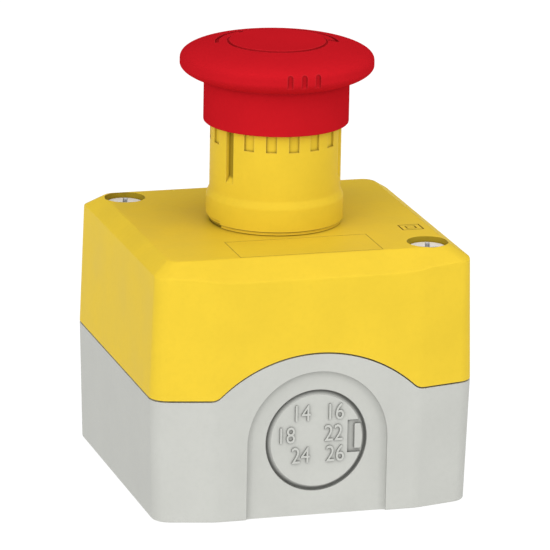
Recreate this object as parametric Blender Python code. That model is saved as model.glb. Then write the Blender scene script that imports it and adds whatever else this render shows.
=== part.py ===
"""Emergency stop button in a two-part wall box, modelled as its separate pieces.

Run it with: blender --background --python part.py
Every length below is in millimetres and is turned into metres when a mesh is made. +Z is up, the
cable entries face -Y and +Y, and the origin is the centre of the box's underside. The mushroom
head is shown released, as it stands at rest.
"""

import math

import bmesh
import bpy
from mathutils import Matrix, Vector

MM = 0.001
GAP = 0.3  # free space between two pieces that touch on the real object

# Box in plan
HALF_WIDTH = 34.0
HALF_DEPTH = 34.0
FLAT_HALF = 21.8  # the front and back walls are flat this far either side of the middle
TAPER = math.radians(13.0)  # and then fall back at this angle to the corners
TAPER_BLEND = 1.0  # half length of the rounded change of direction
CORNER_RADIUS = 4.0
CORNER_STEPS = 4
CORNER_X = HALF_WIDTH - CORNER_RADIUS
CORNER_Y = HALF_DEPTH - (CORNER_RADIUS + (CORNER_X - FLAT_HALF) * math.sin(TAPER)) / math.cos(TAPER)
BOTTOM_DRAFT = 33.2 / 34.0  # the side walls lean in towards the underside
EDGE_ROUND = 1.5

# Joint line between base and cover
PARTING_Z = 25.6
HUMP_PEAK = 34.4
HUMP_RADIUS = 30.0
HUMP_FILLET = 3.0
HUMP_CENTRE_Z = HUMP_PEAK - HUMP_RADIUS
FILLET_Z = PARTING_Z + HUMP_FILLET
HUMP_FOOT = math.sqrt((HUMP_RADIUS + HUMP_FILLET) ** 2 - (FILLET_Z - HUMP_CENTRE_Z) ** 2)
HUMP_SHOULDER = HUMP_FOOT * HUMP_RADIUS / (HUMP_RADIUS + HUMP_FILLET)

# Base
FLOOR = 2.8
WALL = 2.5
TONGUE_INSET = 1.3
TONGUE_RISE = 1.5
ENTRY_Z = 15.8
ENTRY_DISC = 9.8
ENTRY_GROOVE = 10.7
ENTRY_GROOVE_DEPTH = 1.0
PAD_RADIUS = 14.8
PAD_DEPTH = 0.9
FIXING_HOLE_RADIUS = 2.15
FIXING_HOLE = 24.0  # from the middle, along X and Y
BASE_BOSS_RADIUS = 4.0
EAR_BOSS_RADIUS = 3.2
BRACKET_BOTTOM = 5.3
BRACKET_THICKNESS = 1.7
BRACKET_HALF_LENGTH = 20.0
BRACKET_HALF_WIDTH = 13.0
BRACKET_TAB_THICKNESS = 1.3
BRACKET_TAB_HALF_WIDTH = 6.0
BRACKET_TAB_TOP = 16.5
BRACKET_SCREW_X = 16.4
BRACKET_SCREW_SHANK = 1.5
BRACKET_SCREW_HEAD = 2.7
BRACKET_SCREW_TIP = 1.6

# Cover
COVER_TOP = 53.6
COVER_ROOF = 2.6
COVER_LIP = 0.95
REBATE_RISE = 3.6
TOP_HALF_X = 29.7
TOP_HALF_Y = 27.8
TOP_CORNER = 2.5
CHAMFER_SLOPE = 0.625
HEAD_HOLE = 11.2
KEY_HALF_WIDTH = 1.3
KEY_RADIUS = 11.9

# Cover screws, on one diagonal
SCREW_X = 25.7
SCREW_Y = 23.7
SCREW_RECESS = 4.2
SCREW_SEAT_Z = 48.9
SCREW_HEAD_Z = 50.3
SCREW_HEAD_TOP = 52.45
SCREW_HEAD_RADIUS = 3.8
SCREW_SHANK = 1.9
SCREW_TIP_Z = 9.0
BASE_BOSS_TOP = 20.4
COVER_BOSS_BOTTOM = 21.0
COVER_BOSS_RADIUS = 4.1
COVER_BOSS_HEAD = 5.3  # the boss is wider round the screw's recess
CROSS_HALF_LENGTH = 3.2
CROSS_HALF_WIDTH = 0.5
CROSS_DEPTH = 1.0

# Head, turned about the Z axis
FLANGE_RADIUS = 14.2
RIM_RADIUS = 13.86
RIM_TOP = 54.5
FLANGE_SHOULDER = 59.7
FLANGE_TOP = 60.4
NECK_RADIUS = 13.54
NECK_TOP = 78.5
NECK_BORE = 11.3
GASKET_INNER = 11.6
GASKET_OUTER = 12.7
GASKET_TOP = 55.1
SEAL_OUTER = 7.3
SEAL_BOTTOM = 60.5
BARREL_RADIUS = 10.9
BARREL_BORE = 8.4
BARREL_BOTTOM = 37.5
WEB_TOP = 62.0
WEB_BOTTOM = 57.2
SHAFT_RADIUS = 5.0
SHAFT_BORE = SHAFT_RADIUS + GAP
WINDOW_COUNT = 18
WINDOW_PITCH = 360.0 / WINDOW_COUNT
WINDOW_WIDTH = 2.15
WINDOW_DEPTH = 0.7
WINDOW_BOTTOM = 71.0
GROOVE_BOTTOM = 63.6
GROOVES = (3, 9, 15)  # which of the windows run down as long grooves, counted from the front
RIM_NOTCH_DEPTH = 0.7
RIM_NOTCH_HEIGHT = 1.0
RIM_NOTCH_HALF_ANGLE = 22.0
NUT_RADIUS = 14.0
NUT_BOTTOM = 44.8
NUT_NOTCHES = 12
NUT_NOTCH_DEPTH = 1.0
NUT_NOTCH_HALF_WIDTH = 1.1

# Push and latch
PUSH_TRAVEL = 5.0
LUG_BOTTOM = 52.0
LUG_HEIGHT = 3.0
LUG_HALF_ANGLE = 22.0
LUG_RADIUS = 8.0
LEDGE_TOP = LUG_BOTTOM - GAP
LEDGE_BOTTOM = LUG_BOTTOM + LUG_HEIGHT - PUSH_TRAVEL + GAP
LEDGE_HALF_ANGLE = 62.0
PLATE_BOTTOM = 34.0
PLATE_THICKNESS = 2.0
PLATE_RADIUS = 9.8
HUB_RADIUS = 7.6
HUB_BORE = 5.9
GUIDE_HALF_WIDTH = 1.3
GUIDE_INNER = 7.2
GUIDE_OUTER = 10.6
GUIDE_TOP = 43.8
GUIDE_SLOT_INNER = 7.9
RING_RADIUS = 6.6
SHAFT_BOTTOM = PLATE_BOTTOM + PLATE_THICKNESS + GAP
SHAFT_TOP = 79.6
SHAFT_FOOT_RADIUS = 5.6
SHAFT_FOOT_HEIGHT = 1.7
SHAFT_COLLAR_RADIUS = 6.6
RETURN_SPRING = (9.6, 0.6)  # radius to the middle of the wire, and half the wire's thickness
LATCH_SPRING = (6.5, 0.4)
CONTACT_SPRING = (2.5, 0.3)

# Mushroom
CAP_RADIUS = 20.0
CAP_RISE = 4.0  # the dome's height above its widest band
CAP_BAND_TOP = 87.6
CAP_BAND_BOTTOM = 86.7
CAP_UNDERCUT = 3.6
CAP_TOP = CAP_BAND_TOP + CAP_RISE
CAP_CEILING = 86.0
SKIRT_RADIUS = 15.0
SKIRT_BORE = 13.85
SKIRT_BOTTOM = 74.9
SOCKET_RADIUS = 7.5
SOCKET_BOTTOM = 72.0

# Contact blocks
BLOCK_X = 6.2
BLOCK_HALF_WIDTH = 5.5
BLOCK_HALF_LENGTH = 20.0
BLOCK_BOTTOM = 7.3
BLOCK_TOP = 28.0
CAVITY_HALF_WIDTH = 4.0
CAVITY_HALF_LENGTH = 11.0
CAVITY_BOTTOM = 9.3
CAVITY_TOP = 26.8
POCKET_START = 13.0
POCKET_BOTTOM = 14.0
PLUNGER_TOP = PLATE_BOTTOM - GAP
PLUNGER_HEAD = 2.4
PLUNGER_PIN = 1.3
STRIP_BOTTOM = 19.0
STRIP_TOP = 19.8
STRIP_HALF_WIDTH = 2.6
STRIP_INNER = 7.5
STRIP_OUTER = 18.5
TIP_Y = 9.0
TIP_RADIUS = 1.3
TIP_HEIGHT = 0.5
BRIDGE_THICKNESS = 0.8
BRIDGE_HALF_WIDTH = 2.4
NC_BRIDGE_BOTTOM = STRIP_BOTTOM - TIP_HEIGHT - GAP - BRIDGE_THICKNESS
NO_BRIDGE_BOTTOM = STRIP_TOP + TIP_HEIGHT + GAP + PUSH_TRAVEL
TERMINAL_Y = 16.0
TERMINAL_HOLE = 1.8
CLAMP_HALF_WIDTH = 3.2
CLAMP_HALF_LENGTH = 2.6
CLAMP_THICKNESS = 1.0
TERMINAL_SCREW_SHANK = 1.5
TERMINAL_SCREW_HEAD = 2.8
TERMINAL_SCREW_HEIGHT = 2.2
TERMINAL_SCREW_TIP = 15.5
SCREW_SLOT_HALF_WIDTH = 0.4

COLOURS = {
    "base_grey": ((0.64, 0.65, 0.62), 0.45, 0.0),
    "cover_yellow": ((0.90, 0.62, 0.04), 0.40, 0.0),
    "head_red": ((0.60, 0.01, 0.02), 0.35, 0.0),
    "seal_black": ((0.02, 0.02, 0.02), 0.80, 0.0),
    "shaft_black": ((0.03, 0.03, 0.03), 0.45, 0.0),
    "latch_white": ((0.75, 0.75, 0.72), 0.45, 0.0),
    "block_dark": ((0.06, 0.06, 0.07), 0.50, 0.0),
    "plunger_red": ((0.55, 0.03, 0.03), 0.40, 0.0),
    "plunger_green": ((0.03, 0.30, 0.08), 0.40, 0.0),
    "steel": ((0.62, 0.62, 0.64), 0.30, 1.0),
    "brass": ((0.70, 0.50, 0.22), 0.30, 1.0),
}


def clear_scene():
    for obj in list(bpy.data.objects):
        bpy.data.objects.remove(obj, do_unlink=True)


def make_materials():
    made = {}
    for name, (colour, roughness, metallic) in COLOURS.items():
        material = bpy.data.materials.new(name)
        material.use_nodes = True
        shader = material.node_tree.nodes["Principled BSDF"]
        shader.inputs["Base Color"].default_value = (*colour, 1.0)
        shader.inputs["Roughness"].default_value = roughness
        shader.inputs["Metallic"].default_value = metallic
        made[name] = material
    return made


def finish_mesh(name, mesh_data, material=None):
    """Makes an object from a bmesh whose points are in millimetres."""
    bmesh.ops.recalc_face_normals(mesh_data, faces=mesh_data.faces)
    bmesh.ops.scale(mesh_data, vec=(MM, MM, MM), verts=mesh_data.verts)
    mesh = bpy.data.meshes.new(name)
    mesh_data.to_mesh(mesh)
    mesh_data.free()
    mesh.shade_smooth()
    mesh.set_sharp_from_angle(angle=math.radians(30))
    obj = bpy.data.objects.new(name, mesh)
    bpy.context.scene.collection.objects.link(obj)
    if material is None:
        obj.hide_render = True
        obj.display_type = "WIRE"
    else:
        mesh.materials.append(material)
    return obj


def boolean(target, tool, operation="DIFFERENCE", solver="EXACT"):
    modifier = target.modifiers.new(operation.lower(), "BOOLEAN")
    modifier.object = tool
    modifier.operation = operation
    modifier.solver = solver


def cut(target, *tools, solver="EXACT"):
    for tool in tools:
        boolean(target, tool, solver=solver)


def join(target, *tools):
    for tool in tools:
        boolean(target, tool, "UNION")


def loft(name, loops, material=None, ring=False):
    """Skins a row of loops with the same number of points; the ends are closed unless it is a ring."""
    made = bmesh.new()
    rows = [[made.verts.new(point) for point in loop] for loop in loops]
    pairs = list(zip(rows, rows[1:]))
    if ring:
        pairs.append((rows[-1], rows[0]))
    count = len(rows[0])
    for low, high in pairs:
        for i in range(count):
            j = (i + 1) % count
            made.faces.new((low[i], low[j], high[j], high[i]))
    bmesh.ops.triangulate(made, faces=made.faces[:])
    if not ring:
        made.faces.new(rows[0])
        made.faces.new(rows[-1])
    return finish_mesh(name, made, material)


def add_box(made, low, high):
    size = [b - a for a, b in zip(low, high)]
    middle = [(a + b) / 2 for a, b in zip(low, high)]
    place = Matrix.Translation(middle) @ Matrix.Diagonal((*size, 1.0))
    return bmesh.ops.create_cube(made, size=1.0, matrix=place)["verts"]


def box(name, low, high, material=None):
    made = bmesh.new()
    add_box(made, low, high)
    return finish_mesh(name, made, material)


def turned(name, profile, steps, material=None, centre=(0.0, 0.0), ring=False):
    """Turns a profile of (radius, height) points about a vertical axis; a radius of 0 is one point."""
    made = bmesh.new()
    rows = []
    for radius, height in profile:
        if radius == 0:
            rows.append([made.verts.new((centre[0], centre[1], height))])
            continue
        row = []
        for i in range(steps):
            angle = 2 * math.pi * i / steps
            x = centre[0] + radius * math.cos(angle)
            y = centre[1] + radius * math.sin(angle)
            row.append(made.verts.new((x, y, height)))
        rows.append(row)
    pairs = list(zip(rows, rows[1:]))
    if ring:
        pairs.append((rows[-1], rows[0]))
    for low, high in pairs:
        for i in range(steps):
            j = (i + 1) % steps
            corners = [low[i % len(low)], low[j % len(low)], high[j % len(high)], high[i % len(high)]]
            unique = list(dict.fromkeys(corners))
            made.faces.new(unique)
    return finish_mesh(name, made, material)


def tube(name, inner, outer, bottom, top, steps, material=None, centre=(0.0, 0.0)):
    profile = [(inner, bottom), (outer, bottom), (outer, top), (inner, top)]
    return turned(name, profile, steps, material, centre, ring=True)


def rod(name, radius, bottom, top, steps, material=None, centre=(0.0, 0.0)):
    profile = [(0, bottom), (radius, bottom), (radius, top), (0, top)]
    return turned(name, profile, steps, material, centre)


def sector(name, inner, outer, bottom, top, middle, half_angle, steps=6, material=None):
    """A block between two radii, centred on the direction `middle` in degrees."""
    made = bmesh.new()
    rows = []
    for i in range(steps + 1):
        angle = math.radians(middle - half_angle + 2 * half_angle * i / steps)
        across = (math.cos(angle), math.sin(angle))
        corners = [(inner, bottom), (outer, bottom), (outer, top), (inner, top)]
        rows.append([made.verts.new((r * across[0], r * across[1], z)) for r, z in corners])
    for low, high in zip(rows, rows[1:]):
        for i in range(4):
            j = (i + 1) % 4
            made.faces.new((low[i], low[j], high[j], high[i]))
    made.faces.new(rows[0])
    made.faces.new(rows[-1])
    return finish_mesh(name, made, material)


def coil(name, size, bottom, top, turns, steps, material, centre=(0.0, 0.0)):
    """A coil spring: round wire along a helix whose first and last turns lie closer together."""
    radius, wire = size
    sides = 5
    made = bmesh.new()
    count = int(turns * steps)
    rise = top - bottom - 2 * wire
    rows = []
    for i in range(count + 1):
        part = i / count
        angle = 2 * math.pi * turns * part
        eased = part - math.sin(2 * math.pi * part) / (2 * math.pi) * 0.75
        height = bottom + wire + rise * eased
        outward = Vector((math.cos(angle), math.sin(angle), 0.0))
        at = Vector((centre[0], centre[1], height)) + outward * radius
        row = []
        for j in range(sides):
            around = 2 * math.pi * j / sides
            off_wire = outward * math.cos(around) + Vector((0.0, 0.0, math.sin(around)))
            row.append(made.verts.new(at + wire * off_wire))
        rows.append(row)
    for low, high in zip(rows, rows[1:]):
        for i in range(sides):
            j = (i + 1) % sides
            made.faces.new((low[i], low[j], high[j], high[i]))
    made.faces.new(rows[0])
    made.faces.new(rows[-1])
    return finish_mesh(name, made, material)


def parting_height(x):
    """Height of the joint line at this distance across the front or back wall."""
    reach = abs(x)
    if reach >= HUMP_FOOT:
        return PARTING_Z
    if reach > HUMP_SHOULDER:
        return FILLET_Z - math.sqrt(HUMP_FILLET**2 - (HUMP_FOOT - reach) ** 2)
    return HUMP_CENTRE_Z + math.sqrt(HUMP_RADIUS**2 - reach**2)


def front_stations():
    """Distances across the front wall at which the box's outline has a point."""
    arc = [HUMP_SHOULDER * i / 6 for i in range(1, 7)]
    foot = (HUMP_SHOULDER + HUMP_FOOT) / 2
    right = arc + [foot, HUMP_FOOT, FLAT_HALF + 2 * TAPER_BLEND]
    return [-x for x in reversed(right)] + [0.0] + right


def front_setback(x):
    """How far the wall has fallen back from its flat middle."""
    past = abs(x) - FLAT_HALF
    if past <= -TAPER_BLEND:
        return 0.0
    if past < TAPER_BLEND:
        return math.tan(TAPER) * (past + TAPER_BLEND) ** 2 / (4 * TAPER_BLEND)
    return math.tan(TAPER) * past


def corner_arc(centre_x, centre_y, radius, start, end):
    points = []
    for i in range(CORNER_STEPS + 1):
        angle = start + (end - start) * i / CORNER_STEPS
        points.append((centre_x + radius * math.cos(angle), centre_y + radius * math.sin(angle)))
    return points


def outline(inset):
    """The box in plan, pulled in by `inset`, anticlockwise from the front wall's left end."""
    radius = CORNER_RADIUS - inset
    front = [(x, -(HALF_DEPTH - inset) + front_setback(x)) for x in front_stations()]
    right_front = corner_arc(CORNER_X, -CORNER_Y, radius, TAPER - math.pi / 2, 0.0)
    right_back = [(x, -y) for x, y in reversed(right_front)]
    back = [(-x, -y) for x, y in front]
    half = right_front + right_back
    return front + half + back + [(-x, -y) for x, y in half]


def top_outline(half_x, half_y, radius):
    """The cover's flat top in plan, with a point for each point of outline()."""
    front = [(x, -half_y) for x in front_stations()]
    right_front = corner_arc(half_x - radius, radius - half_y, radius, -math.pi / 2, 0.0)
    right_back = [(x, -y) for x, y in reversed(right_front)]
    half = right_front + right_back
    return front + half + [(-x, -y) for x, y in front] + [(-x, -y) for x, y in half]


def level(points, height):
    return [(x, y, height) for x, y in points]


def along_joint(inset, rise):
    return [(x, y, parting_height(x) + rise) for x, y in outline(inset)]


def drafted(inset, height):
    """A level outline low on the base, where the side walls have leaned in."""
    lean = BOTTOM_DRAFT + (1 - BOTTOM_DRAFT) * height / PARTING_Z
    return [(x * lean, y, height) for x, y in outline(inset)]


def chamfer_height(x, y, top):
    return top - CHAMFER_SLOPE * max(0.0, abs(x) - TOP_HALF_X, abs(y) - TOP_HALF_Y)


def entry_cutters(side):
    """What is cut from the outside of the front (side -1) or back (side 1) wall: pad and groove."""
    label = "front" if side < 0 else "rear"
    outer = side * (HALF_DEPTH + 2)
    pad_face = side * (HALF_DEPTH - PAD_DEPTH)
    made = bmesh.new()
    arch = [(-PAD_RADIUS, -1.0), (PAD_RADIUS, -1.0)]
    for i in range(17):
        angle = math.pi * i / 16
        arch.append((PAD_RADIUS * math.cos(angle), ENTRY_Z + PAD_RADIUS * math.sin(angle)))
    near = [made.verts.new((x, outer, z)) for x, z in arch]
    far = [made.verts.new((x, pad_face, z)) for x, z in arch]
    for i in range(len(arch)):
        j = (i + 1) % len(arch)
        made.faces.new((near[i], near[j], far[j], far[i]))
    made.faces.new(near)
    made.faces.new(far)
    pad = finish_mesh("pad_cutter_" + label, made)
    groove_depth = pad_face - side * ENTRY_GROOVE_DEPTH
    ring = tube("groove_cutter_" + label, ENTRY_DISC, ENTRY_GROOVE, 0.0, abs(outer - groove_depth), 32)
    ring.rotation_euler = (math.radians(90.0 if side < 0 else -90.0), 0.0, 0.0)
    ring.location = (0.0, groove_depth * MM, ENTRY_Z * MM)
    return pad, ring


def make_base(materials):
    loops = [
        drafted(EDGE_ROUND, 0.0),
        drafted(EDGE_ROUND * 0.3, EDGE_ROUND * 0.3),
        drafted(0.0, EDGE_ROUND),
        along_joint(0.0, -GAP / 2),
        along_joint(TONGUE_INSET - 0.05, -GAP / 2),
        along_joint(TONGUE_INSET, TONGUE_RISE),
        along_joint(WALL, TONGUE_RISE),
        drafted(WALL + 0.2, FLOOR),
    ]
    base = loft("base_box", loops, materials["base_grey"])
    for side in (-1, 1):
        cut(base, *entry_cutters(side))
        boss_at = (-side * SCREW_X, side * SCREW_Y)
        fixing_at = (side * FIXING_HOLE, side * FIXING_HOLE)
        ear_at = (side * BRACKET_SCREW_X, 0.0)
        label = "front" if side < 0 else "rear"
        boss = (BASE_BOSS_RADIUS, FLOOR - 1, BASE_BOSS_TOP)
        ear_boss = (EAR_BOSS_RADIUS, FLOOR - 1, BRACKET_BOTTOM - GAP)
        pilot = (SCREW_SHANK + GAP, SCREW_TIP_Z - 5, BASE_BOSS_TOP + 1)
        ear_pilot = (BRACKET_SCREW_SHANK + GAP, BRACKET_SCREW_TIP - 0.4, BRACKET_BOTTOM)
        join(base, rod("boss_" + label, *boss, 20, None, boss_at))
        join(base, rod("ear_boss_" + label, *ear_boss, 16, None, ear_at))
        cut(base, rod("pilot_" + label, *pilot, 12, None, boss_at))
        cut(base, rod("ear_pilot_" + label, *ear_pilot, 12, None, ear_at))
        fixing = rod("fixing_" + label, FIXING_HOLE_RADIUS, -1.0, FLOOR + 1, 16, None, fixing_at)
        cut(base, fixing, solver="MANIFOLD")
    return base


def make_cover(materials):
    roof = COVER_TOP - COVER_ROOF
    inner = outline(WALL + 0.2)
    outer = outline(0.4)
    shrink = 1.2  # the chamfer's inner face starts this much nearer the middle than its outer face
    loops = [
        level(top_outline(TOP_HALF_X - shrink, TOP_HALF_Y - shrink, TOP_CORNER - 1.0), roof),
        [(x, y, chamfer_height(abs(x) + shrink, abs(y) + shrink, roof)) for x, y in inner],
        along_joint(WALL + 0.1, REBATE_RISE),
        along_joint(COVER_LIP, REBATE_RISE),
        along_joint(COVER_LIP, GAP / 2),
        along_joint(0.0, GAP / 2),
        [(x, y, chamfer_height(x, y, COVER_TOP)) for x, y in outer],
        level(top_outline(TOP_HALF_X, TOP_HALF_Y, TOP_CORNER), COVER_TOP),
    ]
    cover = loft("cover", loops, materials["cover_yellow"])
    for side in (-1, 1):
        at = (-side * SCREW_X, side * SCREW_Y)
        label = "front" if side < 0 else "rear"
        boss = [
            (0, COVER_BOSS_BOTTOM),
            (COVER_BOSS_RADIUS, COVER_BOSS_BOTTOM),
            (COVER_BOSS_RADIUS, SCREW_SEAT_Z - 2.5),
            (COVER_BOSS_HEAD, SCREW_SEAT_Z - 1.2),
            (COVER_BOSS_HEAD, roof + 0.8),
            (0, roof + 0.8),
        ]
        hole = [
            (0, COVER_BOSS_BOTTOM - 1),
            (SCREW_SHANK + GAP, COVER_BOSS_BOTTOM - 1),
            (SCREW_SHANK + GAP, SCREW_SEAT_Z),
            (SCREW_RECESS, SCREW_SEAT_Z),
            (SCREW_RECESS, COVER_TOP + 1),
            (0, COVER_TOP + 1),
        ]
        join(cover, turned("cover_boss_" + label, boss, 20, None, at))
        cut(cover, turned("screw_hole_" + label, hole, 20, None, at))
    cut(cover, rod("head_hole", HEAD_HOLE, roof - 1, COVER_TOP + 1, 40))
    notch_low = (-KEY_HALF_WIDTH - GAP, 0.0, roof - 1)
    cut(cover, box("key_notch", notch_low, (KEY_HALF_WIDTH + GAP, KEY_RADIUS + GAP, COVER_TOP + 1)))
    return cover


def make_cover_gasket(materials):
    loops = [
        along_joint(TONGUE_INSET, TONGUE_RISE + GAP),
        along_joint(WALL - 0.1, TONGUE_RISE + GAP),
        along_joint(WALL - 0.1, REBATE_RISE - GAP),
        along_joint(TONGUE_INSET, REBATE_RISE - GAP),
    ]
    loft("cover_gasket", loops, materials["seal_black"], ring=True)


def make_cover_screw(label, at, materials):
    profile = [
        (0, SCREW_TIP_Z),
        (SCREW_SHANK - 0.7, SCREW_TIP_Z),
        (SCREW_SHANK, SCREW_TIP_Z + 1.2),
        (SCREW_SHANK, SCREW_HEAD_Z),
        (SCREW_HEAD_RADIUS, SCREW_HEAD_Z),
        (SCREW_HEAD_RADIUS, SCREW_HEAD_TOP - 0.4),
        (SCREW_HEAD_RADIUS - 0.4, SCREW_HEAD_TOP),
        (0, SCREW_HEAD_TOP),
    ]
    screw = turned("cover_screw_" + label, profile, 20, materials["steel"], at)
    made = bmesh.new()
    across = (CROSS_HALF_LENGTH, CROSS_HALF_WIDTH)
    for half_x, half_y in (across, across[::-1]):
        low = (at[0] - half_x, at[1] - half_y, SCREW_HEAD_TOP - CROSS_DEPTH)
        add_box(made, low, (at[0] + half_x, at[1] + half_y, SCREW_HEAD_TOP + 1.0))
    slots = finish_mesh("cross_" + label, made)
    slot_cut = screw.modifiers.new("cross", "BOOLEAN")
    slot_cut.object = slots
    slot_cut.use_self = True
    ring = (SCREW_SHANK + GAP, SCREW_HEAD_RADIUS, SCREW_SEAT_Z + GAP, SCREW_HEAD_Z - GAP)
    tube("cover_screw_seal_" + label, *ring, 20, materials["seal_black"], at)


def window_cutter():
    """The small windows round the top of the neck, three of which run down as long grooves."""
    made = bmesh.new()
    for i in range(WINDOW_COUNT):
        angle = math.radians(-90.0 + WINDOW_PITCH * i)
        bottom = GROOVE_BOTTOM if i in GROOVES else WINDOW_BOTTOM
        low = (NECK_RADIUS - WINDOW_DEPTH, -WINDOW_WIDTH / 2, bottom)
        high = (NECK_RADIUS + 1.0, WINDOW_WIDTH / 2, NECK_TOP + 1.0)
        verts = add_box(made, low, high)
        bmesh.ops.rotate(made, verts=verts, cent=(0, 0, 0), matrix=Matrix.Rotation(angle, 3, "Z"))
    return finish_mesh("window_cutter", made)


def make_head_body(materials):
    flange_bottom = COVER_TOP + GAP
    profile = [
        (BARREL_BORE, BARREL_BOTTOM),
        (BARREL_RADIUS - 0.5, BARREL_BOTTOM),
        (BARREL_RADIUS, BARREL_BOTTOM + 0.5),
        (BARREL_RADIUS, flange_bottom),
        (GASKET_INNER - GAP, flange_bottom),
        (GASKET_INNER - GAP, GASKET_TOP + GAP),
        (GASKET_OUTER + GAP, GASKET_TOP + GAP),
        (GASKET_OUTER + GAP, flange_bottom),
        (RIM_RADIUS, flange_bottom),
        (RIM_RADIUS, RIM_TOP),
        (FLANGE_RADIUS, RIM_TOP),
        (FLANGE_RADIUS, FLANGE_SHOULDER),
        (NECK_RADIUS, FLANGE_TOP),
        (NECK_RADIUS, NECK_TOP),
        (NECK_BORE, NECK_TOP),
        (NECK_BORE, WEB_TOP),
        (SEAL_OUTER + GAP, WEB_TOP),
        (SEAL_OUTER + GAP, SEAL_BOTTOM - GAP),
        (SHAFT_BORE, SEAL_BOTTOM - GAP),
        (SHAFT_BORE, WEB_BOTTOM),
        (BARREL_BORE, WEB_BOTTOM),
    ]
    body = turned("head_body", profile, 48, materials["cover_yellow"], ring=True)
    for side in (-1, 1):
        label = "left" if side < 0 else "right"
        middle = 180.0 if side < 0 else 0.0
        ledge = (LUG_RADIUS - 1.0, BARREL_BORE + 0.6, LEDGE_BOTTOM, LEDGE_TOP)
        join(body, sector("ledge_" + label, *ledge, middle, LEDGE_HALF_ANGLE, 8))
        notch_sides = (RIM_RADIUS - RIM_NOTCH_DEPTH, FLANGE_RADIUS + 1)
        notch_ends = (flange_bottom - 1, RIM_TOP + RIM_NOTCH_HEIGHT)
        notch = sector("rim_notch_" + label, *notch_sides, *notch_ends, middle, RIM_NOTCH_HALF_ANGLE)
        cut(body, notch)
        near, far = sorted((side * GUIDE_SLOT_INNER, side * (BARREL_RADIUS + 1)))
        slot_low = (-GUIDE_HALF_WIDTH - GAP, near, BARREL_BOTTOM - 1)
        cut(body, box("guide_slot_" + label, slot_low, (GUIDE_HALF_WIDTH + GAP, far, GUIDE_TOP + 0.6)))
    key_low = (-KEY_HALF_WIDTH, BARREL_RADIUS - 1, COVER_TOP - COVER_ROOF + 0.4)
    join(body, box("key", key_low, (KEY_HALF_WIDTH, GASKET_INNER - GAP - 0.05, flange_bottom + 0.5)))
    cut(body, window_cutter())
    return body


def make_nut(materials):
    """The ring nut, with grip notches round its edge."""
    top = COVER_TOP - COVER_ROOF - GAP
    nut = tube("head_nut", HEAD_HOLE, NUT_RADIUS, NUT_BOTTOM, top, 36, materials["shaft_black"])
    low = (NUT_RADIUS - NUT_NOTCH_DEPTH, -NUT_NOTCH_HALF_WIDTH, NUT_BOTTOM - 1)
    high = (NUT_RADIUS + 1, NUT_NOTCH_HALF_WIDTH, top - 1.5)
    made = bmesh.new()
    for i in range(NUT_NOTCHES):
        verts = add_box(made, low, high)
        turn = Matrix.Rotation(2 * math.pi * i / NUT_NOTCHES, 3, "Z")
        bmesh.ops.rotate(made, verts=verts, cent=(0, 0, 0), matrix=turn)
    cut(nut, finish_mesh("nut_notches", made))


def dome_height(radius):
    """Height of the cap's top at this radius: flat in the middle, rounded at the edge."""
    return CAP_BAND_TOP + CAP_RISE * (1 - (radius / CAP_RADIUS) ** 2.7) ** (1 / 2.4)


def underside_height(radius):
    """Height of the cap's rounded underside at this radius."""
    return CAP_BAND_BOTTOM - CAP_UNDERCUT * (1 - (radius / CAP_RADIUS) ** 3.9) ** (1 / 1.76)


def make_mushroom(materials):
    """The cap with its skirt, hollow below, with a socket for the shaft."""
    dome = [(radius, dome_height(radius)) for radius in (7.0, 11.5, 14.5, 16.8, 18.4, 19.4, 19.85)]
    underside = [(radius, underside_height(radius)) for radius in (19.8, 19.0, 17.4, SKIRT_RADIUS)]
    profile = [
        (0, CAP_TOP),
        *dome,
        (CAP_RADIUS, CAP_BAND_TOP),
        (CAP_RADIUS, CAP_BAND_BOTTOM),
        *underside,
        (SKIRT_RADIUS, SKIRT_BOTTOM + 0.4),
        (SKIRT_RADIUS - 0.4, SKIRT_BOTTOM),
        (SKIRT_BORE, SKIRT_BOTTOM),
        (SKIRT_BORE, CAP_CEILING - 2.0),
        (SKIRT_BORE - 1.5, CAP_CEILING),
        (SOCKET_RADIUS, CAP_CEILING),
        (SOCKET_RADIUS, SOCKET_BOTTOM),
        (SHAFT_BORE, SOCKET_BOTTOM),
        (SHAFT_BORE, SHAFT_TOP + GAP),
        (0, SHAFT_TOP + GAP),
    ]
    turned("mushroom_cap", profile, 48, materials["head_red"])


def make_shaft(materials):
    """The spindle: a snap-in foot, a collar above the latch ring, and a plain end for the cap."""
    profile = [
        (0, SHAFT_BOTTOM),
        (SHAFT_FOOT_RADIUS, SHAFT_BOTTOM),
        (SHAFT_FOOT_RADIUS, SHAFT_BOTTOM + SHAFT_FOOT_HEIGHT),
        (SHAFT_RADIUS, SHAFT_BOTTOM + SHAFT_FOOT_HEIGHT),
        (SHAFT_RADIUS, LUG_BOTTOM + LUG_HEIGHT + GAP),
        (SHAFT_COLLAR_RADIUS, LUG_BOTTOM + LUG_HEIGHT + GAP),
        (SHAFT_COLLAR_RADIUS, WEB_BOTTOM - GAP),
        (SHAFT_RADIUS, WEB_BOTTOM - GAP),
        (SHAFT_RADIUS, SHAFT_TOP - 0.5),
        (SHAFT_RADIUS - 0.5, SHAFT_TOP),
        (0, SHAFT_TOP),
    ]
    turned("operating_shaft", profile, 24, materials["shaft_black"])


def make_latch_ring(materials):
    """The ring whose two lugs turn under the ledges in the barrel."""
    top = LUG_BOTTOM + LUG_HEIGHT
    ring = tube("latch_ring", SHAFT_BORE, RING_RADIUS, LUG_BOTTOM, top, 24, materials["latch_white"])
    for side in (-1, 1):
        label = "front" if side < 0 else "rear"
        size = (RING_RADIUS - 0.6, LUG_RADIUS, LUG_BOTTOM, top)
        join(ring, sector("lug_" + label, *size, side * 90.0, LUG_HALF_ANGLE, 4))


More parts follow.
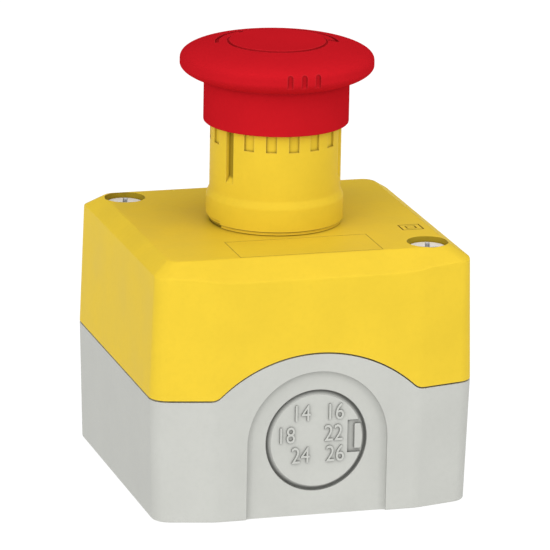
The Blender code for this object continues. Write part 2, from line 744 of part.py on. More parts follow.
def make_push_plate(materials):
    """A disc that closes the hub the shaft snaps into, with two guides that keep it from turning."""
    plate_top = PLATE_BOTTOM + PLATE_THICKNESS
    profile = [
        (0, PLATE_BOTTOM),
        (PLATE_RADIUS, PLATE_BOTTOM),
        (PLATE_RADIUS, plate_top),
        (HUB_RADIUS, plate_top),
        (HUB_RADIUS, GUIDE_TOP),
        (SHAFT_BORE, GUIDE_TOP),
        (SHAFT_BORE, SHAFT_BOTTOM + SHAFT_FOOT_HEIGHT + GAP),
        (HUB_BORE, SHAFT_BOTTOM + SHAFT_FOOT_HEIGHT + GAP),
        (HUB_BORE, plate_top),
        (0, plate_top),
    ]
    plate = turned("push_plate", profile, 28, materials["latch_white"])
    for side in (-1, 1):
        label = "front" if side < 0 else "rear"
        near, far = sorted((side * GUIDE_INNER, side * GUIDE_OUTER))
        low = (-GUIDE_HALF_WIDTH, near, plate_top - 0.5)
        join(plate, box("guide_" + label, low, (GUIDE_HALF_WIDTH, far, GUIDE_TOP - 0.1)))


def slotted_screw(name, shank, head, heights, materials, at):
    """A slotted cheese-head screw; `heights` are its tip, the underside of its head and its top."""
    tip, seat, top = heights
    profile = [(0, tip), (shank, tip), (shank, seat), (head, seat), (head, top), (0, top)]
    screw = turned(name, profile, 14, materials["steel"], at)
    low = (at[0] - head - 1, at[1] - SCREW_SLOT_HALF_WIDTH, top - 1.0)
    high = (at[0] + head + 1, at[1] + SCREW_SLOT_HALF_WIDTH, top + 1.0)
    cut(screw, box(name + "_slot", low, high))


def make_bracket(materials):
    """The plate under the contact blocks, with a tab up each side and a screw in each end."""
    top = BRACKET_BOTTOM + BRACKET_THICKNESS
    low = (-BRACKET_HALF_LENGTH, -BRACKET_HALF_WIDTH, BRACKET_BOTTOM)
    high = (BRACKET_HALF_LENGTH, BRACKET_HALF_WIDTH, top)
    bracket = box("contact_bracket", low, high, materials["steel"])
    for side in (-1, 1):
        label = "left" if side < 0 else "right"
        near = side * (BLOCK_X + BLOCK_HALF_WIDTH + GAP)
        far = near + side * BRACKET_TAB_THICKNESS
        tab_low = (min(near, far), -BRACKET_TAB_HALF_WIDTH, top - 0.5)
        tab_high = (max(near, far), BRACKET_TAB_HALF_WIDTH, BRACKET_TAB_TOP)
        join(bracket, box("tab_" + label, tab_low, tab_high))
        at = (side * BRACKET_SCREW_X, 0.0)
        hole = (BRACKET_SCREW_SHANK + GAP, BRACKET_BOTTOM - 1, top + 1)
        cut(bracket, rod("bracket_hole_" + label, *hole, 12, None, at))
        heights = (BRACKET_SCREW_TIP, top + GAP, top + 1.9)
        sizes = (BRACKET_SCREW_SHANK, BRACKET_SCREW_HEAD, heights)
        slotted_screw("bracket_screw_" + label, *sizes, materials, at)


def make_housing(kind, x, materials):
    """A contact block's body: open at both ends for the terminals, hollow between them."""
    low = (x - BLOCK_HALF_WIDTH, -BLOCK_HALF_LENGTH, BLOCK_BOTTOM)
    high = (x + BLOCK_HALF_WIDTH, BLOCK_HALF_LENGTH, BLOCK_TOP)
    housing = box(kind + "_block_housing", low, high, materials["block_dark"])
    wide = CAVITY_HALF_WIDTH
    cavity_low = (x - wide, -CAVITY_HALF_LENGTH, CAVITY_BOTTOM)
    cut(housing, box(kind + "_cavity", cavity_low, (x + wide, CAVITY_HALF_LENGTH, CAVITY_TOP)))
    hole = (PLUNGER_HEAD + GAP, CAVITY_TOP - 1, BLOCK_TOP + 1)
    cut(housing, rod(kind + "_plunger_hole", *hole, 16, None, (x, 0)))
    for side in (-1, 1):
        label = kind + ("_front" if side < 0 else "_rear")
        near, far = sorted((side * POCKET_START, side * (BLOCK_HALF_LENGTH + 1)))
        pocket_low = (x - wide, near, POCKET_BOTTOM)
        cut(housing, box(label + "_pocket", pocket_low, (x + wide, far, BLOCK_TOP + 1)))
        near, far = sorted((side * (CAVITY_HALF_LENGTH - 1), side * (POCKET_START + 1)))
        slot_low = (x - STRIP_HALF_WIDTH - GAP, near, STRIP_BOTTOM - GAP)
        slot_high = (x + STRIP_HALF_WIDTH + GAP, far, STRIP_TOP + GAP)
        cut(housing, box(label + "_strip_slot", slot_low, slot_high))


def make_terminals(kind, x, tip_up, materials):
    """A fixed contact strip with its clamp and screw at each end of a block."""
    clamp_bottom = STRIP_TOP + GAP
    clamp_top = clamp_bottom + CLAMP_THICKNESS
    tip_bottom = STRIP_TOP - 0.3 if tip_up else STRIP_BOTTOM - TIP_HEIGHT
    for side in (-1, 1):
        end = "front" if side < 0 else "rear"
        at = (x, side * TERMINAL_Y)
        near, far = sorted((side * STRIP_INNER, side * STRIP_OUTER))
        strip_low = (x - STRIP_HALF_WIDTH, near, STRIP_BOTTOM)
        strip_high = (x + STRIP_HALF_WIDTH, far, STRIP_TOP)
        strip = box(kind + "_terminal_" + end, strip_low, strip_high, materials["brass"])
        tip = (TIP_RADIUS, tip_bottom, tip_bottom + TIP_HEIGHT + 0.3)
        join(strip, rod(kind + "_tip_" + end, *tip, 12, None, (x, side * TIP_Y)))
        strip_hole = (TERMINAL_HOLE, STRIP_BOTTOM - 1, STRIP_TOP + 1)
        cut(strip, rod(kind + "_strip_hole_" + end, *strip_hole, 12, None, at))
        clamp_low = (x - CLAMP_HALF_WIDTH, at[1] - CLAMP_HALF_LENGTH, clamp_bottom)
        clamp_high = (x + CLAMP_HALF_WIDTH, at[1] + CLAMP_HALF_LENGTH, clamp_top)
        clamp = box(kind + "_clamp_" + end, clamp_low, clamp_high, materials["steel"])
        clamp_hole = (TERMINAL_HOLE, clamp_bottom - 1, clamp_top + 1)
        cut(clamp, rod(kind + "_clamp_hole_" + end, *clamp_hole, 12, None, at))
        seat = clamp_top + GAP
        heights = (TERMINAL_SCREW_TIP, seat, seat + TERMINAL_SCREW_HEIGHT)
        sizes = (TERMINAL_SCREW_SHANK, TERMINAL_SCREW_HEAD, heights)
        slotted_screw(kind + "_terminal_screw_" + end, *sizes, materials, at)


def make_moving_contact(kind, x, bridge_bottom, colour, materials):
    """The plunger, the bridge that it carries, and the spring beneath them."""
    bridge_top = bridge_bottom + BRIDGE_THICKNESS
    shoulder = bridge_top + GAP
    profile = [
        (0, bridge_bottom - 2.0),
        (PLUNGER_PIN, bridge_bottom - 2.0),
        (PLUNGER_PIN, shoulder),
        (PLUNGER_HEAD, shoulder),
        (PLUNGER_HEAD, PLUNGER_TOP - 0.5),
        (PLUNGER_HEAD - 0.5, PLUNGER_TOP),
        (0, PLUNGER_TOP),
    ]
    turned(kind + "_block_plunger", profile, 18, materials[colour], (x, 0))
    low = (x - BRIDGE_HALF_WIDTH, -TIP_Y - TIP_RADIUS, bridge_bottom)
    high = (x + BRIDGE_HALF_WIDTH, TIP_Y + TIP_RADIUS, bridge_top)
    bridge = box(kind + "_block_bridge", low, high, materials["brass"])
    hole = (PLUNGER_PIN + GAP, bridge_bottom - 1, bridge_top + 1)
    cut(bridge, rod(kind + "_bridge_hole", *hole, 12, None, (x, 0)))
    ends = (CAVITY_BOTTOM + GAP, bridge_bottom - GAP)
    coil(kind + "_block_spring", CONTACT_SPRING, *ends, 4, 10, materials["steel"], (x, 0))


def main():
    clear_scene()
    materials = make_materials()
    make_base(materials)
    make_cover(materials)
    make_cover_gasket(materials)
    make_cover_screw("front", (SCREW_X, -SCREW_Y), materials)
    make_cover_screw("rear", (-SCREW_X, SCREW_Y), materials)
    make_head_body(materials)
    gasket = (GASKET_INNER, GASKET_OUTER, COVER_TOP + GAP, GASKET_TOP)
    tube("head_gasket", *gasket, 32, materials["seal_black"])
    seal = (SHAFT_BORE, SEAL_OUTER, SEAL_BOTTOM, WEB_TOP - 0.2)
    tube("shaft_seal", *seal, 24, materials["seal_black"])
    make_nut(materials)
    make_shaft(materials)
    make_latch_ring(materials)
    make_push_plate(materials)
    coil("return_spring", RETURN_SPRING, WEB_TOP + GAP, CAP_CEILING - GAP, 5, 14, materials["steel"])
    coil("latch_spring", LATCH_SPRING, GUIDE_TOP + GAP, LUG_BOTTOM - GAP, 3, 12, materials["steel"])
    make_mushroom(materials)
    make_bracket(materials)
    closed = ("nc", -BLOCK_X, NC_BRIDGE_BOTTOM, "plunger_red")
    opened = ("no", BLOCK_X, NO_BRIDGE_BOTTOM, "plunger_green")
    for kind, x, bridge_bottom, colour in (closed, opened):
        make_housing(kind, x, materials)
        make_terminals(kind, x, kind == "no", materials)
        make_moving_contact(kind, x, bridge_bottom, colour, materials)


main()
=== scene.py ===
"""The finished look of an emergency stop button in its two-part wall box.

Shapes are worked out in millimetres and made in metres. +Z is up, the cable entries face -Y and +Y,
and the origin is the centre of the box's underside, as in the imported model.
"""

import math

import bmesh
import bpy
from mathutils import Matrix, Vector


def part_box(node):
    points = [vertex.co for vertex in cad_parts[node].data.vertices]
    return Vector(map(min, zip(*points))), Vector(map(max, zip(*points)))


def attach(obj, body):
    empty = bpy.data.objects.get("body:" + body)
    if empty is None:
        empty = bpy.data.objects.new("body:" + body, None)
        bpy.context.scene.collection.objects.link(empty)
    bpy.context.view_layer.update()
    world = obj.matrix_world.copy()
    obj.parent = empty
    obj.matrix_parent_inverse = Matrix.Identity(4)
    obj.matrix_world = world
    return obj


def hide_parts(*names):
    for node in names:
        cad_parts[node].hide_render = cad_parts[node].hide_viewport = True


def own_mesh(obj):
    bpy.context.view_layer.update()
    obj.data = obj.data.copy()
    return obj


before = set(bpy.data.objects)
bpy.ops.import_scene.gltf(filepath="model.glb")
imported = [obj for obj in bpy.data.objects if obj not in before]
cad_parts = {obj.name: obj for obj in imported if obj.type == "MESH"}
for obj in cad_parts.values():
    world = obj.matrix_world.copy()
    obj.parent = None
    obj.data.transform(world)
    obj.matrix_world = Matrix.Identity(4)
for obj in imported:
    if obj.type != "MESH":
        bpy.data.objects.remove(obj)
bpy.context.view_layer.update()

MM = 0.001
SHARP = math.radians(32)


def node_box(node):
    """A node's lowest and highest corners in millimetres."""
    low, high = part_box(node)
    return low / MM, high / MM


def node_centre(node):
    """The middle of a node in plan."""
    low, high = node_box(node)
    return ((low.x + high.x) / 2, (low.y + high.y) / 2)


BASE_HIGH = node_box("base_box")[1]
COVER_HIGH = node_box("cover")[1]
HEAD_LOW, HEAD_HIGH = node_box("head_body")
CAP_LOW, CAP_HIGH = node_box("mushroom_cap")

# Box in plan
HALF_WIDTH = BASE_HIGH.x
HALF_DEPTH = BASE_HIGH.y
FLAT_HALF = 21.8
TAPER = math.radians(13.0)
TAPER_BLEND = 1.0
CORNER_RADIUS = 4.0
CORNER_STEPS = 10
CORNER_X = HALF_WIDTH - CORNER_RADIUS
CORNER_Y = HALF_DEPTH - (CORNER_RADIUS + (CORNER_X - FLAT_HALF) * math.sin(TAPER)) / math.cos(TAPER)
BOTTOM_DRAFT = 33.2 / 34.0
FIXING_HOLE = 24.0

# Joint line between base and cover
PARTING_Z = 25.6
TONGUE_RISE = 1.5
HUMP_PEAK = BASE_HIGH.z - TONGUE_RISE
HUMP_RADIUS = 30.0
HUMP_FILLET = 3.0
HUMP_CENTRE_Z = HUMP_PEAK - HUMP_RADIUS
FILLET_Z = PARTING_Z + HUMP_FILLET
HUMP_FOOT = math.sqrt((HUMP_RADIUS + HUMP_FILLET) ** 2 - (FILLET_Z - HUMP_CENTRE_Z) ** 2)
HUMP_SHOULDER = HUMP_FOOT * HUMP_RADIUS / (HUMP_RADIUS + HUMP_FILLET)
JOINT_HALF_GAP = 0.165

# Base
FLOOR = 2.8
WALL = 2.5
TONGUE_INSET = 1.3
ENTRY_Z = 15.8
DISC_RADIUS = 9.75
GROOVE_RADIUS = 10.7
GROOVE_DEPTH = 1.0
PAD_RADIUS = 14.8
PAD_DEPTH = 0.9

# Cover
COVER_TOP = COVER_HIGH.z
ROOF = COVER_TOP - 2.6
COVER_LIP = 0.95
REBATE_RISE = 3.6
TOP_HALF_X = 29.7
TOP_HALF_Y = 27.8
TOP_CORNER = 2.5
CHAMFER_SLOPE = 0.53
END_CHAMFER_EXTRA = 0.095
END_CHAMFER_HALF = 24.0
END_CHAMFER_EASE = 8.0
SCREW_AT = {end: node_centre("cover_screw_" + end) for end in ("front", "rear")}
SCREW_RECESS = 4.2
SCREW_SEAT_Z = 48.9
SCREW_HEAD_Z = 50.3
SCREW_HEAD_RADIUS = 4.0
SCREW_TURN = math.radians(-17.0)

# Head
HEAD_HOLE = 11.2
FLANGE_RADIUS = HEAD_HIGH.x
FLANGE_FOOT = 54.5
RIM_RADIUS = 13.86
RIM_NOTCH_TOP = 55.3
NECK_RADIUS = 13.54
NECK_BORE = 11.3
BARREL_RADIUS = 10.9
SHAFT_BORE = 5.3
FLANGE_SHOULDER = 59.3
FLANGE_TOP = 60.7
WINDOW_PITCH = 20.0
WINDOW_PLACES = 18
WINDOW_BOTTOM = 71.0
GROOVE_BOTTOM = 63.4
LONG_GROOVES = (3, 9, 15)

# Cap
CAP_RADIUS = CAP_HIGH.x
CAP_TOP = CAP_HIGH.z
CAP_RISE = 4.0
CAP_HANG = 3.6
CAP_BAND_TOP = CAP_TOP - CAP_RISE
CAP_BAND_BOTTOM = CAP_BAND_TOP - 0.9
SKIRT_RADIUS = 15.0
SKIRT_BOTTOM = 74.7


# ---- materials


def new_material(name):
    material = bpy.data.materials.new(name)
    material.use_nodes = True
    nodes = material.node_tree.nodes
    nodes.clear()
    shader = nodes.new("ShaderNodeBsdfPrincipled")
    output = nodes.new("ShaderNodeOutputMaterial")
    material.node_tree.links.new(shader.outputs["BSDF"], output.inputs["Surface"])
    return material, shader


def set_inputs(node, values):
    for name, value in values.items():
        node.inputs[name].default_value = value


def add_noise(tree, places, scale, detail, roughness=0.5):
    noise = tree.nodes.new("ShaderNodeTexNoise")
    set_inputs(noise, {"Scale": scale, "Detail": detail, "Roughness": roughness})
    tree.links.new(places, noise.inputs["Vector"])
    return noise.outputs["Fac"]


def add_range(tree, value, low, high, start=0.3, end=0.7):
    """Maps a value that runs from `start` to `end` to one that runs from `low` to `high`."""
    mapped = tree.nodes.new("ShaderNodeMapRange")
    set_inputs(mapped, {"From Min": start, "From Max": end, "To Min": low, "To Max": high})
    tree.links.new(value, mapped.inputs["Value"])
    return mapped.outputs["Result"]


def add_mix(tree, share, first, second):
    """Mixes two colours; each is a colour or the output of another node."""
    mix = tree.nodes.new("ShaderNodeMix")
    mix.data_type = "RGBA"
    tree.links.new(share, mix.inputs["Factor"])
    for socket, colour in ((mix.inputs[6], first), (mix.inputs[7], second)):
        if isinstance(colour, tuple):
            socket.default_value = (*colour, 1.0)
        else:
            tree.links.new(colour, socket)
    return mix.outputs[2]


def add_edges(tree, radius, amount):
    """How worn a place is: 0 on a face, up to `amount` along an edge."""
    rounded = tree.nodes.new("ShaderNodeBevel")
    rounded.samples = 4
    rounded.inputs["Radius"].default_value = radius
    plain = tree.nodes.new("ShaderNodeNewGeometry")
    dot = tree.nodes.new("ShaderNodeVectorMath")
    dot.operation = "DOT_PRODUCT"
    tree.links.new(rounded.outputs["Normal"], dot.inputs[0])
    tree.links.new(plain.outputs["Normal"], dot.inputs[1])
    return add_range(tree, dot.outputs["Value"], amount, 0.0, 0.8, 0.99)


def add_crevice(tree, reach, amount):
    """How sheltered a place is in a corner or a groove, for painted shade: 0 in the open, up to `amount`
    down inside.
    """
    shelter = tree.nodes.new("ShaderNodeAmbientOcclusion")
    shelter.samples = 12
    shelter.only_local = True
    shelter.inputs["Distance"].default_value = reach
    return add_range(tree, shelter.outputs["AO"], amount, 0.0, 0.45, 0.96)


def tinted(colour, factor):
    return tuple(min(1.0, part * factor) for part in colour)


def add_product(tree, first, second):
    both = tree.nodes.new("ShaderNodeMath")
    both.operation = "MULTIPLY"
    tree.links.new(first, both.inputs[0])
    tree.links.new(second, both.inputs[1])
    return both.outputs[0]


def add_height(tree, places):
    parts = tree.nodes.new("ShaderNodeSeparateXYZ")
    tree.links.new(places, parts.inputs[0])
    return parts.outputs["Z"]


def add_scaled(tree, places, scale):
    scaled = tree.nodes.new("ShaderNodeMapping")
    scaled.inputs["Scale"].default_value = scale
    tree.links.new(places, scaled.inputs["Vector"])
    return scaled.outputs["Vector"]


def add_bump(tree, shader, relief, strength, depth):
    """Lets a noise raise and sink the surface by `depth` millimetres."""
    bump = tree.nodes.new("ShaderNodeBump")
    set_inputs(bump, {"Strength": strength, "Distance": depth * MM})
    tree.links.new(relief, bump.inputs["Height"])
    tree.links.new(bump.outputs["Normal"], shader.inputs["Normal"])


def add_round_patch(tree, places, centre, radius, soft, floor, ceiling):
    """1 within `radius` of an upright axis and between two heights, 0 elsewhere; all in millimetres."""
    height = add_height(tree, places)
    above = add_range(tree, height, 0.0, 1.0, (floor - 0.4) * MM, floor * MM)
    below = add_range(tree, height, 1.0, 0.0, ceiling * MM, (ceiling + 0.1) * MM)
    away = tree.nodes.new("ShaderNodeVectorMath")
    away.operation = "DISTANCE"
    away.inputs[1].default_value = (centre[0] * MM, centre[1] * MM, 0.0)
    tree.links.new(add_scaled(tree, places, (1.0, 1.0, 0.0)), away.inputs[0])
    inside = add_range(tree, away.outputs["Value"], 1.0, 0.0, radius * MM, (radius + soft) * MM)
    return add_product(tree, inside, add_product(tree, above, below))


def plastic(name, colour, roughness, relief=0.012, worn=0.18, gloss=0.04, crevice_shade=0.62, reach=1.2, shaded=()):
    """Moulded plastic: fine spark-eroded grain, faint mottling, and edges rubbed a little paler, with
    painted shade darkening its corners and grooves and the shaded round places given."""
    material, shader = new_material(name)
    tree = material.node_tree
    places = tree.nodes.new("ShaderNodeTexCoord").outputs["Object"]
    mottle = add_noise(tree, places, 95.0, 4.0)
    grain = add_noise(tree, places, 3200.0, 3.0, 0.6)
    speck = add_noise(tree, places, 900.0, 2.0)
    body = add_mix(tree, add_range(tree, mottle, 0.0, 1.0), tinted(colour, 0.97), tinted(colour, 1.03))
    body = add_mix(tree, add_range(tree, speck, 0.0, 0.35, 0.45, 0.8), body, tinted(colour, 0.93))
    paler = tuple(part + (0.85 - part) * 0.25 for part in colour)
    body = add_mix(tree, add_edges(tree, 0.0004, worn), body, paler)
    # Painted shade: darker deep in corners and grooves.
    body = add_mix(tree, add_crevice(tree, reach * MM, crevice_shade), body, tinted(colour, 0.28))
    # Painted shade in the shaded round places given.
    for centre, radius, soft, floor, ceiling, tone in shaded:
        patch = add_round_patch(tree, places, centre, radius, soft, floor, ceiling)
        body = add_mix(tree, patch, body, tinted(colour, tone))
    tree.links.new(body, shader.inputs["Base Color"])
    rough = add_range(tree, mottle, roughness - 0.04, roughness + 0.05)
    tree.links.new(rough, shader.inputs["Roughness"])
    shader.inputs["Specular IOR Level"].default_value = gloss
    add_bump(tree, shader, grain, 0.35, relief)
    return material


def rubber(name, colour):
    """Matt rubber with a dusty bloom."""
    material, shader = new_material(name)
    tree = material.node_tree
    places = tree.nodes.new("ShaderNodeTexCoord").outputs["Object"]
    bloom = add_noise(tree, places, 220.0, 5.0)
    pores = add_noise(tree, places, 2600.0, 2.0)
    body = add_mix(tree, add_range(tree, bloom, 0.0, 0.6), colour, tinted(colour, 2.2))
    tree.links.new(body, shader.inputs["Base Color"])
    tree.links.new(add_range(tree, bloom, 0.72, 0.9), shader.inputs["Roughness"])
    add_bump(tree, shader, pores, 0.5, 0.02)
    return material


def metal(name, colour, roughness, stretch, tarnish=0.75, metallic=1.0, dull_below=None):
    """Plated or plain metal: scratches drawn out along one way, tarnish in patches, and painted shade down
    in slots.
    Below the height `dull_below`, if one is given, it is a duller grey."""
    material, shader = new_material(name)
    tree = material.node_tree
    places = tree.nodes.new("ShaderNodeTexCoord").outputs["Object"]
    scratches = add_noise(tree, add_scaled(tree, places, stretch), 1800.0, 3.0)
    patches = add_noise(tree, places, 160.0, 4.0)
    body = add_mix(tree, add_range(tree, patches, 0.0, 0.5), colour, tinted(colour, tarnish))
    body = add_mix(tree, add_edges(tree, 0.0002, 0.5), body, tinted(colour, 1.15))
    # Painted shade down in slots and corners.
    body = add_mix(tree, add_crevice(tree, 0.9 * MM, 0.8), body, tinted(colour, 0.3))
    if dull_below is not None:
        height = add_height(tree, places)
        dull = add_range(tree, height, 0.85, 0.0, dull_below * MM, (dull_below + 0.1) * MM)
        body = add_mix(tree, dull, body, tinted(colour, 0.38))
    tree.links.new(body, shader.inputs["Base Color"])
    rough = add_range(tree, scratches, roughness - 0.06, roughness + 0.1)
    tree.links.new(rough, shader.inputs["Roughness"])
    shader.inputs["Metallic"].default_value = metallic
    add_bump(tree, shader, scratches, 0.3, 0.006)
    return material


# Places in shade: centre, radius, how softly it ends, lowest and highest point, and tone
SCREW_PITS = [(at, SCREW_RECESS + 0.05, 0.05, SCREW_SEAT_Z, COVER_TOP, 0.45) for at in SCREW_AT.values()]
GROOVE_FLOORS = ((0.0, 0.0), NECK_RADIUS - 0.9, 0.3, FLANGE_TOP + 1.8, HEAD_HIGH.z, 0.45)
FLANGE_SLIT = ((0.0, 0.0), NECK_RADIUS - 0.25, 0.3, COVER_TOP, RIM_NOTCH_TOP, 0.35)

LOOKS = {
    "base_grey": plastic("moulded_grey", (0.458, 0.463, 0.433), 0.52, gloss=0.08, crevice_shade=0.75, reach=1.6),
    "cover_yellow": plastic(
        "moulded_yellow", (0.685, 0.48, 0.033), 0.48, crevice_shade=0.7, reach=0.7,
        shaded=SCREW_PITS + [GROOVE_FLOORS, FLANGE_SLIT],
    ),
    "head_red": plastic(
        "moulded_red", (0.47, 0.0085, 0.014), 0.42, relief=0.008, worn=0.05, gloss=0.0, crevice_shade=0.35
    ),
    "seal_black": rubber("black_rubber", (0.018, 0.018, 0.019)),
    "shaft_black": plastic("moulded_black", (0.022, 0.022, 0.024), 0.42, worn=0.10, gloss=0.3),
    "latch_white": plastic("moulded_white", (0.72, 0.72, 0.69), 0.42, gloss=0.2),
    "block_dark": plastic("moulded_charcoal", (0.045, 0.046, 0.05), 0.48, worn=0.12, gloss=0.3),
    "plunger_red": plastic("plunger_red", (0.50, 0.02, 0.02), 0.38, gloss=0.2),
    "plunger_green": plastic("plunger_green", (0.03, 0.26, 0.07), 0.38, gloss=0.2),
    "steel": metal("zinc_plated_steel", (0.80, 0.80, 0.82), 0.24, (1.0, 1.0, 6.0)),
    # Nearly white and only a little metallic: the screw heads' brightness is a painted reflection.
    "zinc_painted_bright": metal(
        "zinc_painted_bright", (0.93, 0.93, 0.94), 0.34, (6.0, 1.0, 1.0), 0.93, 0.3, dull_below=SCREW_SEAT_Z
    ),
    "brass": metal("brass", (0.78, 0.56, 0.25), 0.27, (6.0, 1.0, 1.0)),
}


# ---- mesh tools


def new_object(name, data):
    obj = bpy.data.objects.new(name, data)
    bpy.context.scene.collection.objects.link(obj)
    return obj


def object_from(made, name):
    """Makes an object from a bmesh whose points are in millimetres."""
    bmesh.ops.recalc_face_normals(made, faces=made.faces)
    bmesh.ops.scale(made, vec=(MM, MM, MM), verts=made.verts)
    mesh = bpy.data.meshes.new(name)
    made.to_mesh(mesh)
    made.free()
    return new_object(name, mesh)


def boolean(target, tool, operation):
    """Cuts or joins at once, and takes the tool away."""
    modifier = target.modifiers.new("boolean", "BOOLEAN")
    modifier.object = tool
    modifier.operation = operation
    modifier.solver = "MANIFOLD"
    graph = bpy.context.evaluated_depsgraph_get()
    result = bpy.data.meshes.new_from_object(target.evaluated_get(graph))
    target.modifiers.clear()
    old = target.data
    target.data = result
    result.name = old.name
    bpy.data.meshes.remove(old)
    bpy.data.objects.remove(tool)


def cut(target, *tools):
    for tool in tools:
        boolean(target, tool, "DIFFERENCE")


def join(target, *tools):
    for tool in tools:
        boolean(target, tool, "UNION")


def settle(obj, body, slot, node, look=None):
    """Smooths a finished piece, gives it its material, and lets it ride and stand for its node."""
    mesh = obj.data
    mesh.materials.clear()
    mesh.materials.append(LOOKS[look or slot])
    mesh.shade_smooth()
    mesh.set_sharp_from_angle(angle=SHARP)
    even = obj.modifiers.new("even_normals", "WEIGHTED_NORMAL")
    even.keep_sharp = True
    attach(obj, body)
    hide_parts(node)


def soften(corners, closed=False):
    """Rounds the corners of a path. Each corner is a point and how far back the rounding reaches."""
    steps = 3
    path = []
    count = len(corners)
    for i, (point, reach) in enumerate(corners):
        point = Vector(point)
        if reach == 0 or (not closed and i in (0, count - 1)):
            path.append(point)
            continue
        before = Vector(corners[i - 1][0])
        after = Vector(corners[(i + 1) % count][0])
        start = point + (before - point).normalized() * reach
        end = point + (after - point).normalized() * reach
        for k in range(steps + 1):
            t = k / steps
            path.append(start.lerp(point, t).lerp(point.lerp(end, t), t))
    return path


def skin(made, rows, ring=False, capped=False):
    """Faces between rows of bmesh points, closed at both ends if capped; a row of one point is a pole."""
    pairs = list(zip(rows, rows[1:]))
    if ring:
        pairs.append((rows[-1], rows[0]))
    for low, high in pairs:
        count = max(len(low), len(high))
        for i in range(count):
            j = (i + 1) % count
            corners = [low[i % len(low)], low[j % len(low)], high[j % len(high)], high[i % len(high)]]
            made.faces.new(list(dict.fromkeys(corners)))
    if capped:
        made.faces.new(rows[0])
        made.faces.new(rows[-1])


def loft(name, loops, ring=False):
    """Joins loops of points into a closed shape, or into a ring round a hole."""
    made = bmesh.new()
    rows = [[made.verts.new(point) for point in loop] for loop in loops]
    skin(made, rows, ring=ring)
    bmesh.ops.triangulate(made, faces=made.faces[:])
    if not ring:
        made.faces.new(rows[0])
        made.faces.new(rows[-1])
    return object_from(made, name)


def turned(name, profile, steps=96, centre=(0.0, 0.0), ring=False):
    """Turns (radius, height) points about a vertical axis; a radius of 0 is a pole."""
    made = bmesh.new()
    rows = []
    for radius, height in profile:
        row = []
        for i in range(1 if radius == 0 else steps):
            angle = 2 * math.pi * i / steps
            place = (centre[0] + radius * math.cos(angle), centre[1] + radius * math.sin(angle), height)
            row.append(made.verts.new(place))
        rows.append(row)
    skin(made, rows, ring=ring)
    return object_from(made, name)


def lathe(name, corners, steps=96, centre=(0.0, 0.0), ring=False):
    """Turns a profile given as (radius, height, reach of the rounding)."""
    path = soften([((r, z), reach) for r, z, reach in corners], ring)
    return turned(name, path, steps, centre, ring)


def node_ring(name, node, inner, outer, reaches, steps=96, centre=(0.0, 0.0)):
    """A ring between two radii, as high as the node. Its corners, and so the reaches of their
    rounding, go from the inner foot to the outer foot, the outer top and the inner top."""
    low, high = node_box(node)
    places = ((inner, low.z), (outer, low.z), (outer, high.z), (inner, high.z))
    corners = [(*place, reach) for place, reach in zip(places, reaches)]
    return lathe(name, corners, steps, centre, ring=True)


def block(name, corner, opposite, turn=0.0):
    """A plain box, for cutting and joining, turned about the Z axis."""
    made = bmesh.new()
    size = [abs(b - a) for a, b in zip(corner, opposite)]
    middle = [(a + b) / 2 for a, b in zip(corner, opposite)]
    place = Matrix.Translation(middle) @ Matrix.Diagonal((*size, 1.0))
    bmesh.ops.create_cube(made, size=1.0, matrix=Matrix.Rotation(turn, 4, "Z") @ place)
    return object_from(made, name)


def sector(name, inner, outer, bottom, top, middle, half_angle):
    """A block between two radii, centred on the direction `middle` in degrees."""
    steps = 16
    made = bmesh.new()
    corners = [(inner, bottom), (outer, bottom), (outer, top), (inner, top)]
    rows = []
    for i in range(steps + 1):
        angle = math.radians(middle - half_angle + 2 * half_angle * i / steps)
        x, y = math.cos(angle), math.sin(angle)
        rows.append([made.verts.new((r * x, r * y, z)) for r, z in corners])
    skin(made, rows, capped=True)
    return object_from(made, name)


def coil(name, radius, wire, bottom, top, turns, centre=(0.0, 0.0)):
    """A compression spring: round wire whose first and last turns lie close together."""
    steps, sides = 36, 10
    made = bmesh.new()
    count = int(turns * steps)
    rise = top - bottom - 2 * wire
    rows = []
    for i in range(count + 1):
        part = i / count
        angle = 2 * math.pi * turns * part
        eased = part - math.sin(2 * math.pi * part) / (2 * math.pi) * 0.75
        outward = Vector((math.cos(angle), math.sin(angle), 0.0))
        at = Vector((centre[0], centre[1], bottom + wire + rise * eased)) + outward * radius
        row = []
        for j in range(sides):
            around = 2 * math.pi * j / sides
            offset = outward * math.cos(around) + Vector((0.0, 0.0, math.sin(around)))
            row.append(made.verts.new(at + wire * offset))
        rows.append(row)
    skin(made, rows, capped=True)
    return object_from(made, name)


# ---- box


def parting_height(x):
    """Height of the joint line at this distance across the front or back wall."""
    reach = abs(x)
    if reach >= HUMP_FOOT:
        return PARTING_Z
    if reach > HUMP_SHOULDER:
        return FILLET_Z - math.sqrt(HUMP_FILLET**2 - (HUMP_FOOT - reach) ** 2)
    return HUMP_CENTRE_Z + math.sqrt(HUMP_RADIUS**2 - reach**2)


def front_setback(x):
    """How far the wall has fallen back from its flat middle."""
    past = abs(x) - FLAT_HALF
    if past <= -TAPER_BLEND:
        return 0.0
    if past < TAPER_BLEND:
        return math.tan(TAPER) * (past + TAPER_BLEND) ** 2 / (4 * TAPER_BLEND)
    return math.tan(TAPER) * past


def front_stations():
    """Distances across the front wall, closer together where the joint line bends."""
    hump_steps, fillet_steps = 20, 6
    right = [HUMP_SHOULDER * i / hump_steps for i in range(1, hump_steps + 1)]
    step = (HUMP_FOOT - HUMP_SHOULDER) / fillet_steps
    right += [HUMP_SHOULDER + step * i for i in range(1, fillet_steps + 1)]
    right += [HUMP_FOOT + 0.36, HUMP_FOOT + 1.4]
    return [-x for x in reversed(right)] + [0.0] + right


def corner_angles(start):
    return [start * (1 - i / CORNER_STEPS) for i in range(CORNER_STEPS + 1)]


